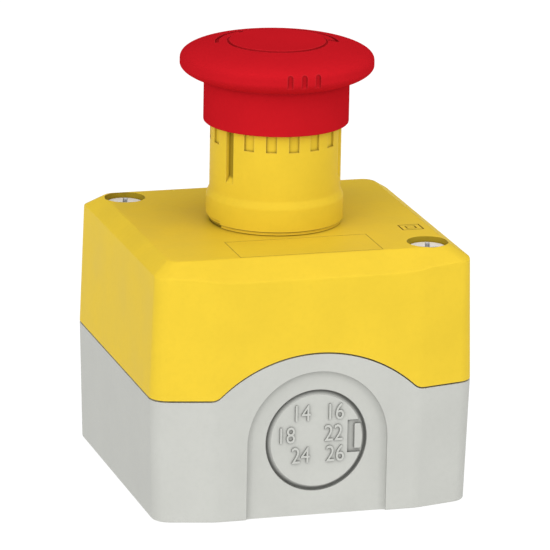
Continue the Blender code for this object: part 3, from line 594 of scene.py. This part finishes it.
def box_stations():
    """Points round the outside, anticlockwise: each is a point of the wall, the way inwards from it,
    and the point of the flat top that belongs to it, with its own way inwards."""
    front = []
    for x in front_stations():
        wall = Vector((x, front_setback(x) - HALF_DEPTH))
        front.append((wall, Vector((0, 1)), Vector((x, -TOP_HALF_Y)), Vector((0, 1))))
    centre = Vector((CORNER_X, -CORNER_Y))
    top_centre = Vector((TOP_HALF_X - TOP_CORNER, TOP_CORNER - TOP_HALF_Y))
    corner = []
    for wall_angle, top_angle in zip(corner_angles(TAPER - math.pi / 2), corner_angles(-math.pi / 2)):
        out = Vector((math.cos(wall_angle), math.sin(wall_angle)))
        top_out = Vector((math.cos(top_angle), math.sin(top_angle)))
        corner.append((centre + out * CORNER_RADIUS, -out, top_centre + top_out * TOP_CORNER, -top_out))
    over = Matrix.Diagonal((1, -1))
    half = front + corner + [tuple(over @ part for part in station) for station in reversed(corner)]
    return half + [tuple(-part for part in station) for station in half]


STATIONS = box_stations()


def wall_point(station, inset, height):
    """A point of the box's wall, pulled in by `inset`. Below the joint the side walls lean in."""
    place = station[0] + station[1] * inset
    lean = 1.0
    if height < PARTING_Z:
        lean = BOTTOM_DRAFT + (1 - BOTTOM_DRAFT) * height / PARTING_Z
    return place.x * lean, place.y, height


def top_point(station, inset, height):
    place = station[2] + station[3] * inset
    return place.x, place.y, height


def joint_point(station, inset, rise):
    return wall_point(station, inset, parting_height(station[0].x) + rise)


def chamfer_drop(place):
    """How far the chamfer has come down at a place outside the flat top; it is steeper in mid front."""
    across = abs(place.x) - (TOP_HALF_X - TOP_CORNER)
    along = abs(place.y) - (TOP_HALF_Y - TOP_CORNER)
    past = max(across, along)
    if across > 0 and along > 0:
        past = math.hypot(across, along)
    steeper = 0.0
    if along > across:
        share = min(1.0, max(0.0, (END_CHAMFER_HALF - abs(place.x)) / END_CHAMFER_EASE))
        steeper = END_CHAMFER_EXTRA * share * share * (3 - 2 * share)
    return max(0.0, past - TOP_CORNER) * (CHAMFER_SLOPE + steeper)


def chamfer_point(station, inset, outward, top):
    """A point of the wall where the chamfer from the height `top` meets it."""
    place = station[0] + station[1] * inset
    drop = chamfer_drop(station[0] + station[1] * (inset - outward))
    return place.x, place.y, top - drop


def wrap(name, corners_at):
    """Lofts one rounded section at each station of the outline."""
    sections = [soften(corners_at(station)) for station in STATIONS]
    return loft(name, [[section[i] for section in sections] for i in range(len(sections[0]))])


def arch(radius, floor, side, y):
    points = [(-radius * side, y, floor), (radius * side, y, floor)]
    steps = 48
    for i in range(steps + 1):
        angle = math.pi * i / steps
        points.append((side * radius * math.cos(angle), y, ENTRY_Z + radius * math.sin(angle)))
    return points


def entry_pad(side):
    """The arched recess round a cable entry, with a rounded rim and a filleted foot."""
    section = [((1.0, 1.0), 0), ((0.03, 0.0), 0.03), ((0.0, -0.6), 0.15)]
    section += [((-0.45, -0.82), 0.3), ((-1.4, -PAD_DEPTH), 0)]
    path = soften(section)
    loops = [arch(PAD_RADIUS + grow, -2.0, side, side * (HALF_DEPTH + out)) for grow, out in path]
    return loft("entry_pad", loops)


def facing(obj, side, depth):
    """Turns a shape drawn upwards from the floor so that it looks out of the front or back wall."""
    obj.rotation_euler = (math.radians(90.0 if side < 0 else -90.0), 0.0, 0.0)
    obj.location = (0.0, side * (HALF_DEPTH - depth) * MM, ENTRY_Z * MM)
    bpy.context.view_layer.update()
    return obj


def entry_groove(side):
    """The ring where the disc breaks out: it slopes down from the disc to an upright outer wall."""
    over = 1.5
    corners = [
        (DISC_RADIUS - 0.1, over, 0),
        (DISC_RADIUS - 0.1, 0.0, 0),
        (DISC_RADIUS + 0.62, 0.1 - GROOVE_DEPTH, 0),
        (GROOVE_RADIUS - 0.05, -GROOVE_DEPTH, 0),
        (GROOVE_RADIUS, -0.1, 0),
        (GROOVE_RADIUS + 0.1, 0.0, 0),
        (GROOVE_RADIUS + 0.1, over, 0),
    ]
    return facing(lathe("entry_groove", corners, 128, ring=True), side, PAD_DEPTH)


def entry_pry_slot(side):
    """The U-shaped slot at the disc's edge for a screwdriver's tip."""
    face = side * (HALF_DEPTH - PAD_DEPTH)
    outer, middle = 6.55, 8.1
    low_z, high_z = 12.75, 19.7
    inner_low, inner_high = 13.6, 18.8
    tools = []
    parts = (
        (outer, middle, low_z, high_z),
        (middle - 0.01, DISC_RADIUS + 0.3, inner_high, high_z),
        (middle - 0.01, DISC_RADIUS + 0.3, low_z, inner_low),
    )
    for near, far, bottom, top in parts:
        corner = (-side * near, face + side, bottom)
        tools.append(block("pry_slot", corner, (-side * far, face - side * 0.55, top)))
    return tools


def raised_text(text, place):
    """Letters lying in the XY plane, stood out to both sides of it and then put in place."""
    curve = bpy.data.curves.new("entry_mark", "FONT")
    curve.body = text
    curve.size = 4.9
    curve.extrude = 0.28
    curve.resolution_u = 4
    curve.align_y = "CENTER"
    draft = new_object("entry_mark_draft", curve)
    graph = bpy.context.evaluated_depsgraph_get()
    made = bmesh.new()
    made.from_mesh(bpy.data.meshes.new_from_object(draft.evaluated_get(graph)))
    bpy.data.objects.remove(draft)
    bmesh.ops.remove_doubles(made, verts=made.verts, dist=0.0005)
    bmesh.ops.transform(made, matrix=place, verts=made.verts)
    return object_from(made, "entry_mark")


def entry_marks(side):
    """Plain size numbers standing out of an entry disc, in three rows."""
    slimming = 0.84
    rows = (
        (21.55, (("14", -5.4), ("16", 1.7))),
        (17.05, (("18", -8.6), ("22", 1.5))),
        (12.65, (("24", -5.4), ("26", 1.9))),
    )
    upright = Matrix.Rotation(math.radians(90.0), 4, "X") @ Matrix.Diagonal((slimming, 1.0, 1.0, 1.0))
    turn = Matrix.Rotation(math.pi if side > 0 else 0.0, 4, "Z")
    marks = []
    for height, words in rows:
        for text, x in words:
            place = Matrix.Translation((x, PAD_DEPTH - HALF_DEPTH, height)) @ upright
            marks.append(raised_text(text, turn @ place))
    return marks


def screw_boss(base, at):
    """The post that takes a cover screw, with its pilot hole."""
    top = 20.4
    post = [(0, 1.5, 0), (5.6, 1.5, 0), (5.0, FLOOR + 0.4, 0.8)]
    post += [(4.0, FLOOR + 2.2, 1.2), (4.0, top, 0.3), (0, top, 0)]
    join(base, lathe("boss", post, 48, at))
    pilot = [(0, 4.0, 0), (2.2, 5.0, 0), (2.2, 20.0, 0), (2.8, 21.0, 0), (0, 21.0, 0)]
    cut(base, lathe("pilot", pilot, 32, at))


def bracket_ear(base, at):
    """The low post under one end of the contact bracket, with its pilot hole."""
    top = node_box("contact_bracket")[0].z - 0.1
    post = [(0, 1.5, 0), (4.0, 1.5, 0), (3.2, FLOOR + 1.2, 0.6), (3.2, top, 0.2), (0, top, 0)]
    join(base, lathe("ear", post, 48, at))
    pilot = [(0, 1.3, 0), (1.8, 1.5, 0), (1.8, 7.0, 0), (0, 7.0, 0)]
    cut(base, lathe("ear_pilot", pilot, 24, at))


def fixing_hole(base, at):
    """The hole for a wall screw, wider at both of its mouths."""
    top = FLOOR + 0.6
    hole = [(0, -1, 0), (3.2, -1, 0), (2.2, 0.4, 0), (2.15, FLOOR - 0.3, 0), (2.9, top, 0), (0, top, 0)]
    cut(base, lathe("fixing_hole", hole, 40, at))


def make_base():
    def corners_at(station):
        return [
            (wall_point(station, 3.2, 0.0), 0),
            (wall_point(station, 0.0, 0.0), 0.4),
            (joint_point(station, 0.0, -JOINT_HALF_GAP), 0.08),
            (joint_point(station, TONGUE_INSET, -JOINT_HALF_GAP), 0.12),
            (joint_point(station, TONGUE_INSET, TONGUE_RISE), 0.25),
            (joint_point(station, WALL, TONGUE_RISE), 0.25),
            (wall_point(station, WALL + 0.2, FLOOR), 0.9),
            (wall_point(station, WALL + 1.3, FLOOR), 0),
        ]

    base = wrap("base_shell", corners_at)
    ear_x = abs(node_centre("bracket_screw_left")[0])
    for side, end in ((-1, "front"), (1, "rear")):
        screw_boss(base, SCREW_AT[end])
        bracket_ear(base, (side * ear_x, 0.0))
        fixing_hole(base, (side * FIXING_HOLE, side * FIXING_HOLE))
        cut(base, entry_pad(side))
        cut(base, entry_groove(side))
        cut(base, *entry_pry_slot(side))
        join(base, *entry_marks(side))
    settle(base, "root", "base_grey", "base_box")


def screw_seat(cover, at):
    """The cover's post round a screw, with the recess for the head and the hole for the shank."""
    post = [(0, 21.0, 0), (4.1, 21.0, 0.3), (4.1, SCREW_SEAT_Z - 2.5, 0.5)]
    post += [(5.3, SCREW_SEAT_Z - 1.2, 0.5), (5.3, ROOF + 0.8, 0), (0, ROOF + 0.8, 0)]
    join(cover, lathe("cover_boss", post, 48, at))
    mouth = SCREW_RECESS + 0.14
    hole = [
        (0, 20.0, 0),
        (2.7, 20.0, 0),
        (2.2, 21.6, 0),
        (2.2, SCREW_SEAT_Z, 0),
        (SCREW_RECESS, SCREW_SEAT_Z, 0.3),
        (SCREW_RECESS, COVER_TOP - 0.12, 0.0),
        (mouth, COVER_TOP + 0.02, 0.0),
        (mouth, COVER_TOP + 1, 0),
        (0, COVER_TOP + 1, 0),
    ]
    cut(cover, lathe("screw_hole", hole, 64, at))


def make_cover():
    def corners_at(station):
        return [
            (top_point(station, 2.4, ROOF), 0),
            (chamfer_point(station, WALL + 0.2, 1.2, ROOF), 0.8),
            (joint_point(station, WALL + 0.1, REBATE_RISE), 0.15),
            (joint_point(station, COVER_LIP, REBATE_RISE), 0.15),
            (joint_point(station, COVER_LIP, JOINT_HALF_GAP), 0.1),
            (joint_point(station, 0.0, JOINT_HALF_GAP), 0.08),
            (chamfer_point(station, 0.7, 0.3, COVER_TOP), 0.3),
            (top_point(station, 0.0, COVER_TOP), 0.35),
            (top_point(station, 1.6, COVER_TOP), 0),
        ]

    cover = wrap("cover_shell", corners_at)
    for at in SCREW_AT.values():
        screw_seat(cover, at)
    under, over = ROOF - 1, COVER_TOP + 1
    hole = [(0, under, 0), (HEAD_HOLE, under, 0), (HEAD_HOLE, over, 0), (0, over, 0)]
    cut(cover, lathe("head_hole", hole))
    cut(cover, block("key_notch", (-1.6, 0.0, under), (1.6, 12.2, over)))
    cut(cover, *lid_marks())
    settle(cover, "lid", "cover_yellow", "cover")


def frame_cutter(name, low, high, width, depth):
    """A rectangle's outline, sunk into the top of the cover."""
    loops = []
    for inset, height in ((0, 0.5), (0, -depth), (width, -depth), (width, 0.5)):
        x0, y0, x1, y1 = low[0] + inset, low[1] + inset, high[0] - inset, high[1] - inset
        z = COVER_TOP + height
        loops.append([(x0, y0, z), (x1, y0, z), (x1, y1, z), (x0, y1, z)])
    return loft(name, loops, ring=True)


def lid_marks():
    """The label's outline at the front, and a small square-in-square mark beside it."""
    line_width, line_depth = 0.34, 0.26
    label = frame_cutter("label_outline", (-15.1, -27.5), (15.1, -15.4), 0.2, 0.08)
    outer = frame_cutter("mark_outer", (23.4, -14.3), (28.1, -10.2), line_width, line_depth)
    inner = frame_cutter("mark_inner", (24.6, -13.3), (26.9, -11.2), line_width, line_depth)
    return label, outer, inner


def make_cover_screws():
    """The two screws of the cover: each has a long slot with a short one across it."""
    slot_depth = 0.9
    for label, at in SCREW_AT.items():
        low, high = node_box("cover_screw_" + label)
        corners = [
            (0, low.z, 0),
            (1.0, low.z, 0.2),
            (1.9, low.z + 1.3, 0.3),
            (1.9, SCREW_HEAD_Z, 0.1),
            (SCREW_HEAD_RADIUS, SCREW_HEAD_Z, 0.15),
            (SCREW_HEAD_RADIUS, high.z - 0.2, 0.1),
            (SCREW_HEAD_RADIUS - 0.15, high.z, 0.1),
            (0, high.z, 0),
        ]
        screw = lathe("cover_screw_" + label + "_turned", corners, 64, at)
        for half_x, half_y in ((0.5, 3.8), (2.2, 0.42)):
            corner = (half_x, half_y, high.z + 1)
            slot = block("screw_slot", (-half_x, -half_y, high.z - slot_depth), corner, SCREW_TURN)
            slot.location = (at[0] * MM, at[1] * MM, 0.0)
            bpy.context.view_layer.update()
            cut(screw, slot)
        settle(screw, "lid", "steel", "cover_screw_" + label, look="zinc_painted_bright")
        node = "cover_screw_seal_" + label
        seal = node_ring("screw_washer_" + label, node, 2.2, 3.8, (0.2, 0.2, 0.2, 0.2), 48, at)
        settle(seal, "lid", "seal_black", node)


# ---- head


def window_cutter():
    """The small windows round the neck, each a little wider at its mouth."""
    made = bmesh.new()
    steps = ((-0.45, 1.04, 0.03), (-0.08, 1.08, 0.0), (0.04, 1.16, -0.08), (1.0, 1.16, -0.08))
    for i in range(WINDOW_PLACES):
        if i in LONG_GROOVES:
            continue
        turn = Matrix.Rotation(math.radians(-90.0 + WINDOW_PITCH * i), 3, "Z")
        rows = []
        for out, half, drop in steps:
            low, high = WINDOW_BOTTOM + drop, HEAD_HIGH.z + 1
            loop = [(-half, low), (half, low), (half, high), (-half, high)]
            rows.append([made.verts.new(turn @ Vector((NECK_RADIUS + out, y, z))) for y, z in loop])
        skin(made, rows, capped=True)
    return object_from(made, "window_cutter")


def long_groove(index):
    """A groove down the neck, steep on one side, whose foot ramps out to the surface."""
    made = bmesh.new()
    turn = Matrix.Rotation(math.radians(-90.0 + WINDOW_PITCH * index), 3, "Z")
    deep, ramp = 1.05, 1.6
    section = ((1.0, -1.1), (0.0, -1.05), (-deep, -0.85), (-deep, 0.1), (0.0, 1.05), (1.0, 1.1))
    top = []
    foot = []
    for out, y in section:
        x = NECK_RADIUS + out
        top.append(made.verts.new(turn @ Vector((x, y, HEAD_HIGH.z + 1))))
        foot.append(made.verts.new(turn @ Vector((x, y, GROOVE_BOTTOM - out * ramp))))
    skin(made, [top, foot], capped=True)
    return object_from(made, "long_groove")


def make_head():
    """The head's body: barrel, groove for the gasket, flange with slits at its foot, and neck."""
    low, top = HEAD_LOW.z, HEAD_HIGH.z
    seat = COVER_TOP + 0.02
    gasket_roof, seal_floor, neck_floor, barrel_roof = 55.4, 60.2, 62.0, 57.2
    corners = [
        (8.4, low, 0.1),
        (BARREL_RADIUS, low, 0.5),
        (BARREL_RADIUS, seat, 0),
        (11.3, seat, 0),
        (11.3, gasket_roof, 0),
        (13.0, gasket_roof, 0),
        (13.0, seat, 0),
        (13.3, seat, 0),
        (13.3, seat + 0.16, 0),
        (RIM_RADIUS, seat + 0.16, 0.04),
        (RIM_RADIUS, FLANGE_FOOT - 0.14, 0.04),
        (13.5, FLANGE_FOOT - 0.14, 0),
        (13.5, FLANGE_FOOT, 0),
        (FLANGE_RADIUS, FLANGE_FOOT, 0.08),
        (FLANGE_RADIUS, FLANGE_SHOULDER, 0.4),
        (NECK_RADIUS, FLANGE_TOP, 0.25),
        (NECK_RADIUS, top, 0.25),
        (NECK_BORE, top, 0.25),
        (NECK_BORE, neck_floor, 0.3),
        (7.6, neck_floor, 0.15),
        (7.6, seal_floor, 0),
        (SHAFT_BORE, seal_floor, 0),
        (SHAFT_BORE, barrel_roof, 0.15),
        (8.4, barrel_roof, 0.3),
    ]
    head = lathe("head_collar", corners, 144, ring=True)
    outside, under = FLANGE_RADIUS + 1.8, COVER_TOP - 1
    for side in (-1, 1):
        middle = 180.0 if side < 0 else 0.0
        join(head, sector("ledge", 7.0, 9.0, 50.3, 51.7, middle, 62.0))
        cut(head, sector("rim_notch", 13.7, outside, under, RIM_NOTCH_TOP, middle, 22.0))
        cut(head, sector("rim_slit", 13.15, outside, under, FLANGE_FOOT - 0.2, middle, 22.2))
        cut(head, block("guide_slot", (-1.6, side * 7.9, low - 1), (1.6, side * 12.0, 44.4)))
    join(head, block("key", (-1.3, 9.9, ROOF + 0.4), (1.3, 11.25, COVER_TOP + 0.8)))
    cut(head, window_cutter(), *[long_groove(index) for index in LONG_GROOVES])
    settle(head, "lid", "cover_yellow", "head_body")


def make_nut():
    low, high = node_box("head_nut")
    nut = node_ring("ring_nut", "head_nut", 11.2, 14.0, (0.4, 0.4, 0.3, 0.3))
    grips = 12
    for i in range(grips):
        turn = 2 * math.pi * i / grips
        cut(nut, block("grip", (13.0, -1.1, low.z - 1), (15.0, 1.1, high.z - 1.5), turn))
    settle(nut, "lid", "shaft_black", "head_nut")


def make_seals():
    gasket = node_ring("collar_gasket", "head_gasket", 11.6, 12.7, (0.2, 0.2, 0.3, 0.3))
    settle(gasket, "lid", "seal_black", "head_gasket")
    lip = node_ring("lip_seal", "shaft_seal", SHAFT_BORE, 7.3, (0.4, 0.2, 0.2, 0.5), 64)
    settle(lip, "lid", "seal_black", "shaft_seal")


def make_cover_gasket():
    def corners_at(station):
        low, high = TONGUE_RISE + 0.25, REBATE_RISE - 0.2
        return [
            (joint_point(station, TONGUE_INSET, low), 0.3),
            (joint_point(station, WALL - 0.1, low), 0.3),
            (joint_point(station, WALL - 0.1, high), 0.3),
            (joint_point(station, TONGUE_INSET, high), 0.3),
        ]

    sections = [soften(corners_at(station), closed=True) for station in STATIONS]
    loops = [[section[i] for section in sections] for i in range(len(sections[0]))]
    settle(loft("joint_gasket", loops, ring=True), "lid", "seal_black", "cover_gasket")


# ---- cap


def dome_height(radius):
    """Height of the cap's top: nearly flat in the middle, rounding over into the rim."""
    return CAP_BAND_TOP + CAP_RISE * (1 - (radius / CAP_RADIUS) ** 2.7) ** (1 / 2.4)


def underside_height(radius):
    """Height of the cap's underside, which falls from the rim towards the skirt."""
    return CAP_BAND_BOTTOM - CAP_HANG * (1 - (radius / CAP_RADIUS) ** 3.9) ** (1 / 1.76)


def rim_radii(inner, steps):
    """Radii from `inner` to the cap's edge, closer together towards the edge."""
    start = math.asin(inner / CAP_RADIUS)
    angles = [start + (math.pi / 2 - start) * i / steps for i in range(steps + 1)]
    return [CAP_RADIUS * math.sin(angle) for angle in angles]


def arc_band(radius, start, end, half_width):
    """An arc's outline in plan, outer edge and then inner edge."""
    steps = 24
    angles = [math.radians(start + (end - start) * i / steps) for i in range(steps + 1)]
    outer = [((radius + half_width) * math.cos(a), (radius + half_width) * math.sin(a)) for a in angles]
    inner = [((radius - half_width) * math.cos(a), (radius - half_width) * math.sin(a)) for a in angles]
    return outer + inner[::-1]


def dome_cutter(name, outline, depth):
    """Sinks an outline in plan into the dome by `depth`."""
    made = bmesh.new()
    low = [made.verts.new((x, y, dome_height(math.hypot(x, y)) - depth)) for x, y in outline]
    high = [made.verts.new((x, y, CAP_TOP + 1)) for x, y in outline]
    skin(made, [low, high], capped=True)
    bmesh.ops.triangulate(made, faces=made.faces[:])
    return object_from(made, name)


def turn_arrow(start, end):
    """A turn arrow's shaft and its barbed head, as cutters; it runs from `start` to `end` degrees."""
    radius, half_width, depth = 12.4, 0.42, 0.45
    shaft = dome_cutter("arrow_shaft", arc_band(radius, start, end, half_width), depth)
    turn = math.copysign(1.0, end - start)
    tip = Matrix.Rotation(math.radians(end), 2) @ Vector((radius, 0.0))
    along = Matrix.Rotation(math.radians(end + 90.0 * turn), 2) @ Vector((1.0, 0.0))
    inward = -tip.normalized()
    barb = (inward * 0.85 - along * 0.55).normalized()
    across = Vector((-barb.y, barb.x)) * half_width
    tail = tip + barb * 2.2
    outline = [tip + across, tip - across, tail - across, tail + across]
    return shaft, dome_cutter("arrow_barb", outline, depth)


def grip_notch(angle):
    """An arched notch in the rim, open at the foot, as a cutter that reaches in to a flat back."""
    half_width, foot, spring_height, back = 0.58, 83.0, 88.1, 19.55
    outline = [(half_width, foot), (-half_width, foot)]
    steps = 12
    for i in range(steps + 1):
        around = math.pi * (1 - i / steps)
        outline.append((half_width * math.cos(around), spring_height + half_width * math.sin(around)))
    made = bmesh.new()
    turn = Matrix.Rotation(math.radians(angle), 3, "Z")
    rows = [[made.verts.new(turn @ Vector((x, y, z))) for y, z in outline] for x in (back, CAP_RADIUS + 2)]
    skin(made, rows, capped=True)
    return object_from(made, "grip_notch")


def make_cap():
    disc_radius, foot_width = 9.95, 0.36
    foot = dome_height(disc_radius) - 0.2
    dome = [(0, CAP_TOP), (disc_radius - 0.1, CAP_TOP), (disc_radius, CAP_TOP - 0.08)]
    dome += [(disc_radius, foot), (disc_radius + foot_width, foot)]
    dome += [(r, dome_height(r)) for r in rim_radii(disc_radius + foot_width + 0.08, 26)[:-1]]
    edge = [(CAP_RADIUS, CAP_BAND_TOP), (CAP_RADIUS, CAP_BAND_BOTTOM)]
    under = [(r, underside_height(r)) for r in reversed(rim_radii(SKIRT_RADIUS + 0.5, 14)[:-1])]
    join_z = underside_height(SKIRT_RADIUS)
    ceiling = 86.0
    inner_radius = 13.85
    shaft_top = node_box("operating_shaft")[1].z + 0.3
    rest = [
        ((SKIRT_RADIUS + 0.12, join_z + 0.03), 0),
        ((SKIRT_RADIUS, join_z - 0.25), 0),
        ((SKIRT_RADIUS, SKIRT_BOTTOM), 0.35),
        ((inner_radius, SKIRT_BOTTOM), 0.2),
        ((inner_radius, ceiling - 2.0), 0.5),
        ((12.35, ceiling), 0.5),
        ((7.5, ceiling), 0.4),
        ((7.5, CAP_LOW.z), 0.2),
        ((SHAFT_BORE, CAP_LOW.z), 0.2),
        ((SHAFT_BORE, shaft_top), 0.2),
        ((0, shaft_top), 0),
    ]
    cap = turned("mushroom_head", dome + edge + under + soften(rest), 180)
    for start, end in ((170.0, 112.0), (60.0, -10.0)):
        cut(cap, *turn_arrow(start, end))
    for third in (-90.0, 30.0, 150.0):
        for offset in (-8.5, 0.0, 8.5):
            cut(cap, grip_notch(third + offset))
    settle(cap, "mushroom", "head_red", "mushroom_cap")


# ---- works


def make_shaft():
    low, high = node_box("operating_shaft")
    collar = node_box("latch_ring")[1].z + 0.3
    corners = [
        (0, low.z, 0),
        (5.6, low.z, 0.3),
        (5.6, low.z + 1.7, 0.2),
        (5.0, low.z + 1.7, 0.1),
        (5.0, collar, 0.1),
        (6.6, collar, 0.2),
        (6.6, collar + 1.6, 0.2),
        (5.0, collar + 1.6, 0.1),
        (5.0, high.z, 0.5),
        (0, high.z, 0),
    ]
    settle(lathe("turned_shaft", corners, 64), "mushroom", "shaft_black", "operating_shaft")


def make_latch_ring():
    low, high = node_box("latch_ring")
    ring = node_ring("lugged_ring", "latch_ring", SHAFT_BORE, 6.6, (0.2, 0.2, 0.2, 0.2), 64)
    for side in (-1, 1):
        join(ring, sector("lug", 6.0, 8.0, low.z, high.z, side * 90.0, 22.0))
    settle(ring, "latch", "latch_white", "latch_ring")


def make_push_plate():
    low, high = node_box("push_plate")
    top = low.z + 2.0
    foot = node_box("operating_shaft")[0].z
    corners = [
        (0, low.z, 0),
        (9.8, low.z, 0.4),
        (9.8, top, 0.3),
        (7.6, top, 0.4),
        (7.6, high.z, 0.25),
        (SHAFT_BORE, high.z, 0.25),
        (SHAFT_BORE, foot + 2.0, 0.1),
        (5.9, foot + 2.0, 0.1),
        (5.9, top, 0.1),
        (0, top, 0),
    ]
    plate = lathe("guided_plate", corners, 64)
    for side in (-1, 1):
        join(plate, block("guide", (-1.3, side * 7.2, top - 0.5), (1.3, side * 10.6, high.z - 0.1)))
    settle(plate, "push_carriage", "latch_white", "push_plate")


def make_springs():
    low, high = node_box("return_spring")
    spring = coil("return_coil", 9.6, 0.6, low.z, high.z, 5)
    settle(spring, "lid", "steel", "return_spring")
    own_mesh(spring)
    low, high = node_box("latch_spring")
    settle(coil("latch_coil", 6.5, 0.4, low.z, high.z, 3), "push_carriage", "steel", "latch_spring")
    for kind in ("nc", "no"):
        node = kind + "_block_spring"
        low, high = node_box(node)
        spring = coil(kind + "_contact_coil", 2.5, 0.3, low.z, high.z, 4, node_centre(node))
        settle(spring, "root", "steel", node)
        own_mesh(spring)


def make_plungers():
    for kind in ("nc", "no"):
        low, high = node_box(kind + "_block_plunger")
        centre = ((low.x + high.x) / 2, 0.0)
        shoulder = node_box(kind + "_block_bridge")[1].z + 0.3
        corners = [(0, low.z, 0), (1.3, low.z, 0.3), (1.3, shoulder, 0.1)]
        corners += [(2.4, shoulder, 0.2), (2.4, high.z, 0.6), (0, high.z, 0)]
        slot = "plunger_red" if kind == "nc" else "plunger_green"
        piece = lathe(kind + "_plunger", corners, 40, centre)
        settle(piece, kind + "_contact", slot, kind + "_block_plunger")


def make_small_screws():
    """The cheese-head screws of the bracket and the terminals, each with a straight slot."""
    names = ["bracket_screw_left", "bracket_screw_right"]
    names += [f"{kind}_terminal_screw_{end}" for kind in ("nc", "no") for end in ("front", "rear")]
    for name in names:
        low, high = node_box(name)
        centre = node_centre(name)
        radius = (high.x - low.x) / 2
        seat = high.z - (2.2 if "terminal" in name else 1.6)
        corners = [(0, low.z, 0), (0.9, low.z, 0.1), (1.5, low.z + 0.6, 0.1), (1.5, seat, 0.05)]
        corners += [(radius, seat, 0.15), (radius, high.z, 0.35), (0, high.z, 0)]
        screw = lathe(name + "_turned", corners, 40, centre)
        low_corner = (centre[0] - 4, centre[1] - 0.4, high.z - 1.0)
        cut(screw, block("slot", low_corner, (centre[0] + 4, centre[1] + 0.4, high.z + 1)))
        settle(screw, "root", "steel", name)


def refined(node, body, slot, bevel):
    """A CAD piece again with its flat faces made whole and its edges rounded."""
    made = bmesh.new()
    made.from_mesh(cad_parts[node].data)
    bmesh.ops.remove_doubles(made, verts=made.verts, dist=0.00001)
    bmesh.ops.dissolve_limit(made, angle_limit=math.radians(1.0), verts=made.verts, edges=made.edges)
    bmesh.ops.scale(made, vec=(1 / MM, 1 / MM, 1 / MM), verts=made.verts)
    piece = object_from(made, node + "_rounded")
    edges = piece.modifiers.new("rounded_edges", "BEVEL")
    edges.width = bevel * MM
    edges.segments = 3
    edges.limit_method = "ANGLE"
    edges.angle_limit = math.radians(40)
    settle(piece, body, slot, node)


def make_contacts():
    refined("contact_bracket", "root", "steel", 0.2)
    for kind in ("nc", "no"):
        refined(kind + "_block_housing", "root", "block_dark", 0.25)
        refined(kind + "_block_bridge", kind + "_contact", "brass", 0.12)
        for end in ("front", "rear"):
            refined(f"{kind}_terminal_{end}", "root", "brass", 0.12)
            refined(f"{kind}_clamp_{end}", "root", "steel", 0.15)


# ---- studio


def make_floor():
    """A wide pale floor, just under the box so that the two flat faces lie apart."""
    made = bmesh.new()
    bmesh.ops.create_grid(made, x_segments=1, y_segments=1, size=4000.0)
    floor = object_from(made, "studio_floor")
    floor.location.z = -0.3 * MM
    material, shader = new_material("studio_floor")
    grey, white = (0.09, 0.09, 0.09, 1.0), (1.0, 1.0, 1.0, 1.0)
    set_inputs(shader, {"Base Color": grey, "Roughness": 1.0, "Specular IOR Level": 0.0})
    set_inputs(shader, {"Emission Color": white, "Emission Strength": 0.97})
    floor.data.materials.append(material)


def add_sun(name, azimuth, elevation, strength, spread):
    """A broad soft light. All angles are in degrees; azimuth runs from the front to the left."""
    light = bpy.data.lights.new(name, "SUN")
    light.energy = strength
    light.angle = math.radians(spread)
    lamp = new_object(name, light)
    a, e = math.radians(azimuth), math.radians(elevation)
    towards = Vector((-math.sin(a) * math.cos(e), -math.cos(a) * math.cos(e), math.sin(e)))
    lamp.rotation_euler = towards.to_track_quat("Z", "Y").to_euler()


def make_light():
    world = bpy.data.worlds.new("studio")
    world.use_nodes = True
    white = (1.0, 1.0, 1.0, 1.0)
    set_inputs(world.node_tree.nodes["Background"], {"Color": white, "Strength": 0.35})
    bpy.context.scene.world = world
    add_sun("key", -17.0, 54.0, 2.5, 95.0)
    add_sun("fill", 60.0, 20.0, 1.28, 50.0)
    bpy.context.scene.view_settings.view_transform = "Standard"


def make_camera():
    azimuth, elevation, roll = (math.radians(angle) for angle in (16.58, 15.66, 1.09))
    distance = 1067.03
    level = math.cos(elevation)
    forward = Vector((math.sin(azimuth) * level, math.cos(azimuth) * level, -math.sin(elevation)))
    right = Vector((math.cos(azimuth), -math.sin(azimuth), 0.0))
    up = right.cross(forward)
    middle_height, shift_right = 41.55, 0.41
    target = Vector((0.0, 0.0, middle_height)) + right * shift_right
    turned_right = right * math.cos(roll) + up * math.sin(roll)
    turned_up = up * math.cos(roll) - right * math.sin(roll)
    data = bpy.data.cameras.new("camera")
    data.lens = 336.6
    data.sensor_width = 36.0
    data.clip_start = 0.05
    data.clip_end = 20.0
    camera = new_object("camera", data)
    axes = Matrix((turned_right, turned_up, -forward)).transposed()
    camera.matrix_world = Matrix.Translation((target - forward * distance) * MM) @ axes.to_4x4()
    bpy.context.scene.camera = camera


make_camera()
make_base()
make_cover()
make_cover_screws()
make_cover_gasket()
make_head()
make_nut()
make_seals()
make_cap()
make_shaft()
make_latch_ring()
make_push_plate()
make_springs()
make_plungers()
make_small_screws()
make_contacts()
make_floor()
make_light()
